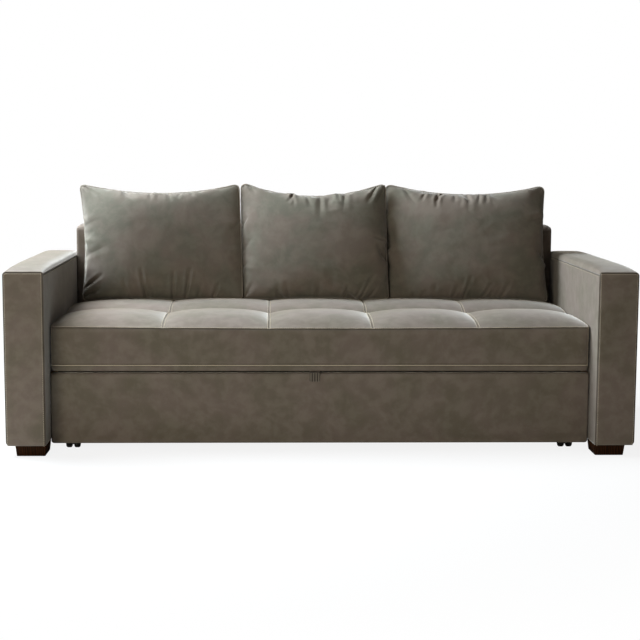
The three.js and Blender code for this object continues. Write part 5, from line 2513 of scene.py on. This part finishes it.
def back_pillows(book: FinishBook, sewing: SewingBox) -> list[BackPillow]:
    """Gives the three pillows with the folds that each one has.

    Args:
        book: the finishes.
        sewing: the sewing trees.

    Returns:
        The left, middle and right pillow.
    """
    left = BackPillow(
        book,
        sewing,
        "left_pillow",
        11,
        folds_from(
            (-0.20, -1.0, -0.23, -0.40, 7, 9),
            (-0.10, -1.0, -0.12, -0.60, 7, 5),
            (0.12, -1.0, 0.15, -0.46, 7, 10),
            (0.27, -1.0, 0.34, -0.42, 7, 10),
            (0.60, -1.0, 0.67, -0.66, 8, 8),
            (0.43, -1.0, 0.46, -0.68, 8, 5),
            (-0.40, -1.0, -0.45, -0.58, 9, 5),
            (-1.0, -0.80, -0.68, -0.52, 7, 9),
            (-1.0, -0.92, -0.72, -0.74, 7, 8),
            (-1.0, 0.24, -0.66, 0.38, 12, 2.5),
            (-1.0, -0.30, -0.58, -0.06, 12, 3),
            (-0.12, 1.0, -0.10, 0.68, 8, 5),
            (0.09, 1.0, 0.14, 0.66, 9, 6),
            (0.26, 1.0, 0.22, 0.74, 7, 7),
            (0.37, 1.0, 0.40, 0.78, 7, 5),
            (-0.46, 1.0, -0.40, 0.74, 8, 5),
            (-0.94, 0.97, -0.76, 0.76, 8, 6),
        ),
        slant=1.8,
        tilt=0.15,
        turn=0.0,
        outset=(10 * MM, -4 * MM),
        loft=-10 * MM,
        side_dips=(16 * MM, 0.0),
        top_dip=35 * MM,
        fullest=-0.42,
        roundness=1.7,
        evenness=0.8,
    )
    middle = BackPillow(
        book,
        sewing,
        "middle_pillow",
        23,
        folds_from(
            (-0.93, 1.0, -0.76, 0.80, 7, 8),
            (-0.24, 1.0, -0.34, 0.64, 7, 9),
            (-0.30, 1.0, -0.26, 0.56, 7, 7),
            (-0.12, 1.0, -0.05, 0.58, 8, 8),
            (0.08, 0.92, 0.07, 0.36, 12, 6),
            (0.32, 1.0, 0.34, 0.66, 7, 7),
            (0.44, 0.98, 0.36, 0.46, 12, 5),
            (0.88, 1.0, 0.68, 0.62, 9, 7),
            (0.96, 0.90, 0.82, 0.62, 8, 5),
            (1.0, 0.02, 0.70, 0.07, 7, 9),
            (0.54, -1.0, 0.78, -0.50, 8, 9),
            (0.35, -1.0, 0.43, -0.68, 7, 8),
            (0.48, -1.0, 0.60, -0.70, 7, 6),
            (0.66, -1.0, 0.84, -0.70, 7, 5),
            (0.0, -1.0, 0.05, -0.62, 10, 5),
            (-0.52, -1.0, -0.50, -0.70, 8, 5),
            (-0.36, -1.0, -0.39, -0.64, 9, 5),
            (-0.98, -0.95, -0.80, -0.66, 10, 5),
        ),
        outset=(7 * MM, -1 * MM),
        side_dips=(0.0, 3 * MM),
        top_dip=49 * MM,
    )
    right = BackPillow(
        book,
        sewing,
        "right_pillow",
        37,
        folds_from(
            (-0.47, 1.0, -0.55, 0.68, 7, 8),
            (-0.35, 1.0, -0.37, 0.56, 7, 9),
            (-0.26, 1.0, -0.40, 0.66, 7, 8),
            (-0.13, 1.0, -0.16, 0.66, 8, 6),
            (0.03, 1.0, 0.0, 0.50, 11, 5),
            (0.19, 1.0, 0.12, 0.62, 7, 7),
            (0.27, 1.0, 0.22, 0.64, 7, 6),
            (-0.80, 1.0, -0.60, 0.62, 10, 5),
            (-0.10, -1.0, 0.02, -0.52, 7, 10),
            (-0.24, -1.0, -0.13, -0.64, 8, 7),
            (0.12, -1.0, 0.27, -0.60, 7, 9),
            (0.34, -1.0, 0.49, -0.56, 8, 7),
            (0.23, -1.0, 0.28, -0.70, 7, 6),
            (-0.46, -1.0, -0.40, -0.64, 9, 5),
            (-0.72, -1.0, -0.66, -0.76, 8, 5),
            (1.0, 0.52, 0.70, 0.34, 12, 5),
        ),
        tilt=-0.4,
        outset=(5 * MM, -3 * MM),
        loft=-10 * MM,
        side_dips=(0.0, 12 * MM),
        top_dip=36 * MM,
    )
    return [left, middle, right]


def main() -> None:
    """Builds the sofa round its frame."""
    logging.basicConfig(level=logging.INFO, format="%(name)s: %(message)s")
    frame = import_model()
    bpy.context.scene.view_settings.view_transform = "Standard"
    book = FinishBook()
    shop = (book, SewingBox())
    dress_frame(frame["nodes"], book)

    seat = SeatCushion(*shop)
    seat_cover = seat.cut_cover()
    pillows = back_pillows(*shop)
    pillow_covers = [pillow.cut_cover() for pillow in pillows]
    seat.filling.run([seat_cover])
    pillows[0].filling.run(pillow_covers)
    seat.settle(seat_cover)
    surface = seat_surface(seat_cover)
    seat.dress(seat_cover)
    for pillow, cover in zip(pillows, pillow_covers):
        pillow.settle(cover, surface)
        pillow.dress(cover)

    for side in Side:
        ArmCover(*shop, side).build()
        for end in ("front", "rear"):
            BlockFoot(*shop, f"{end}_{side.word}_foot").build()
            TwinCaster(*shop, end, side).build()
    for part in (BackCover, FrontPanel, BedMattress, PullStrap, DeckCloth):
        part(*shop).build()
    Studio().build()


if __name__ == "__main__":
    main()
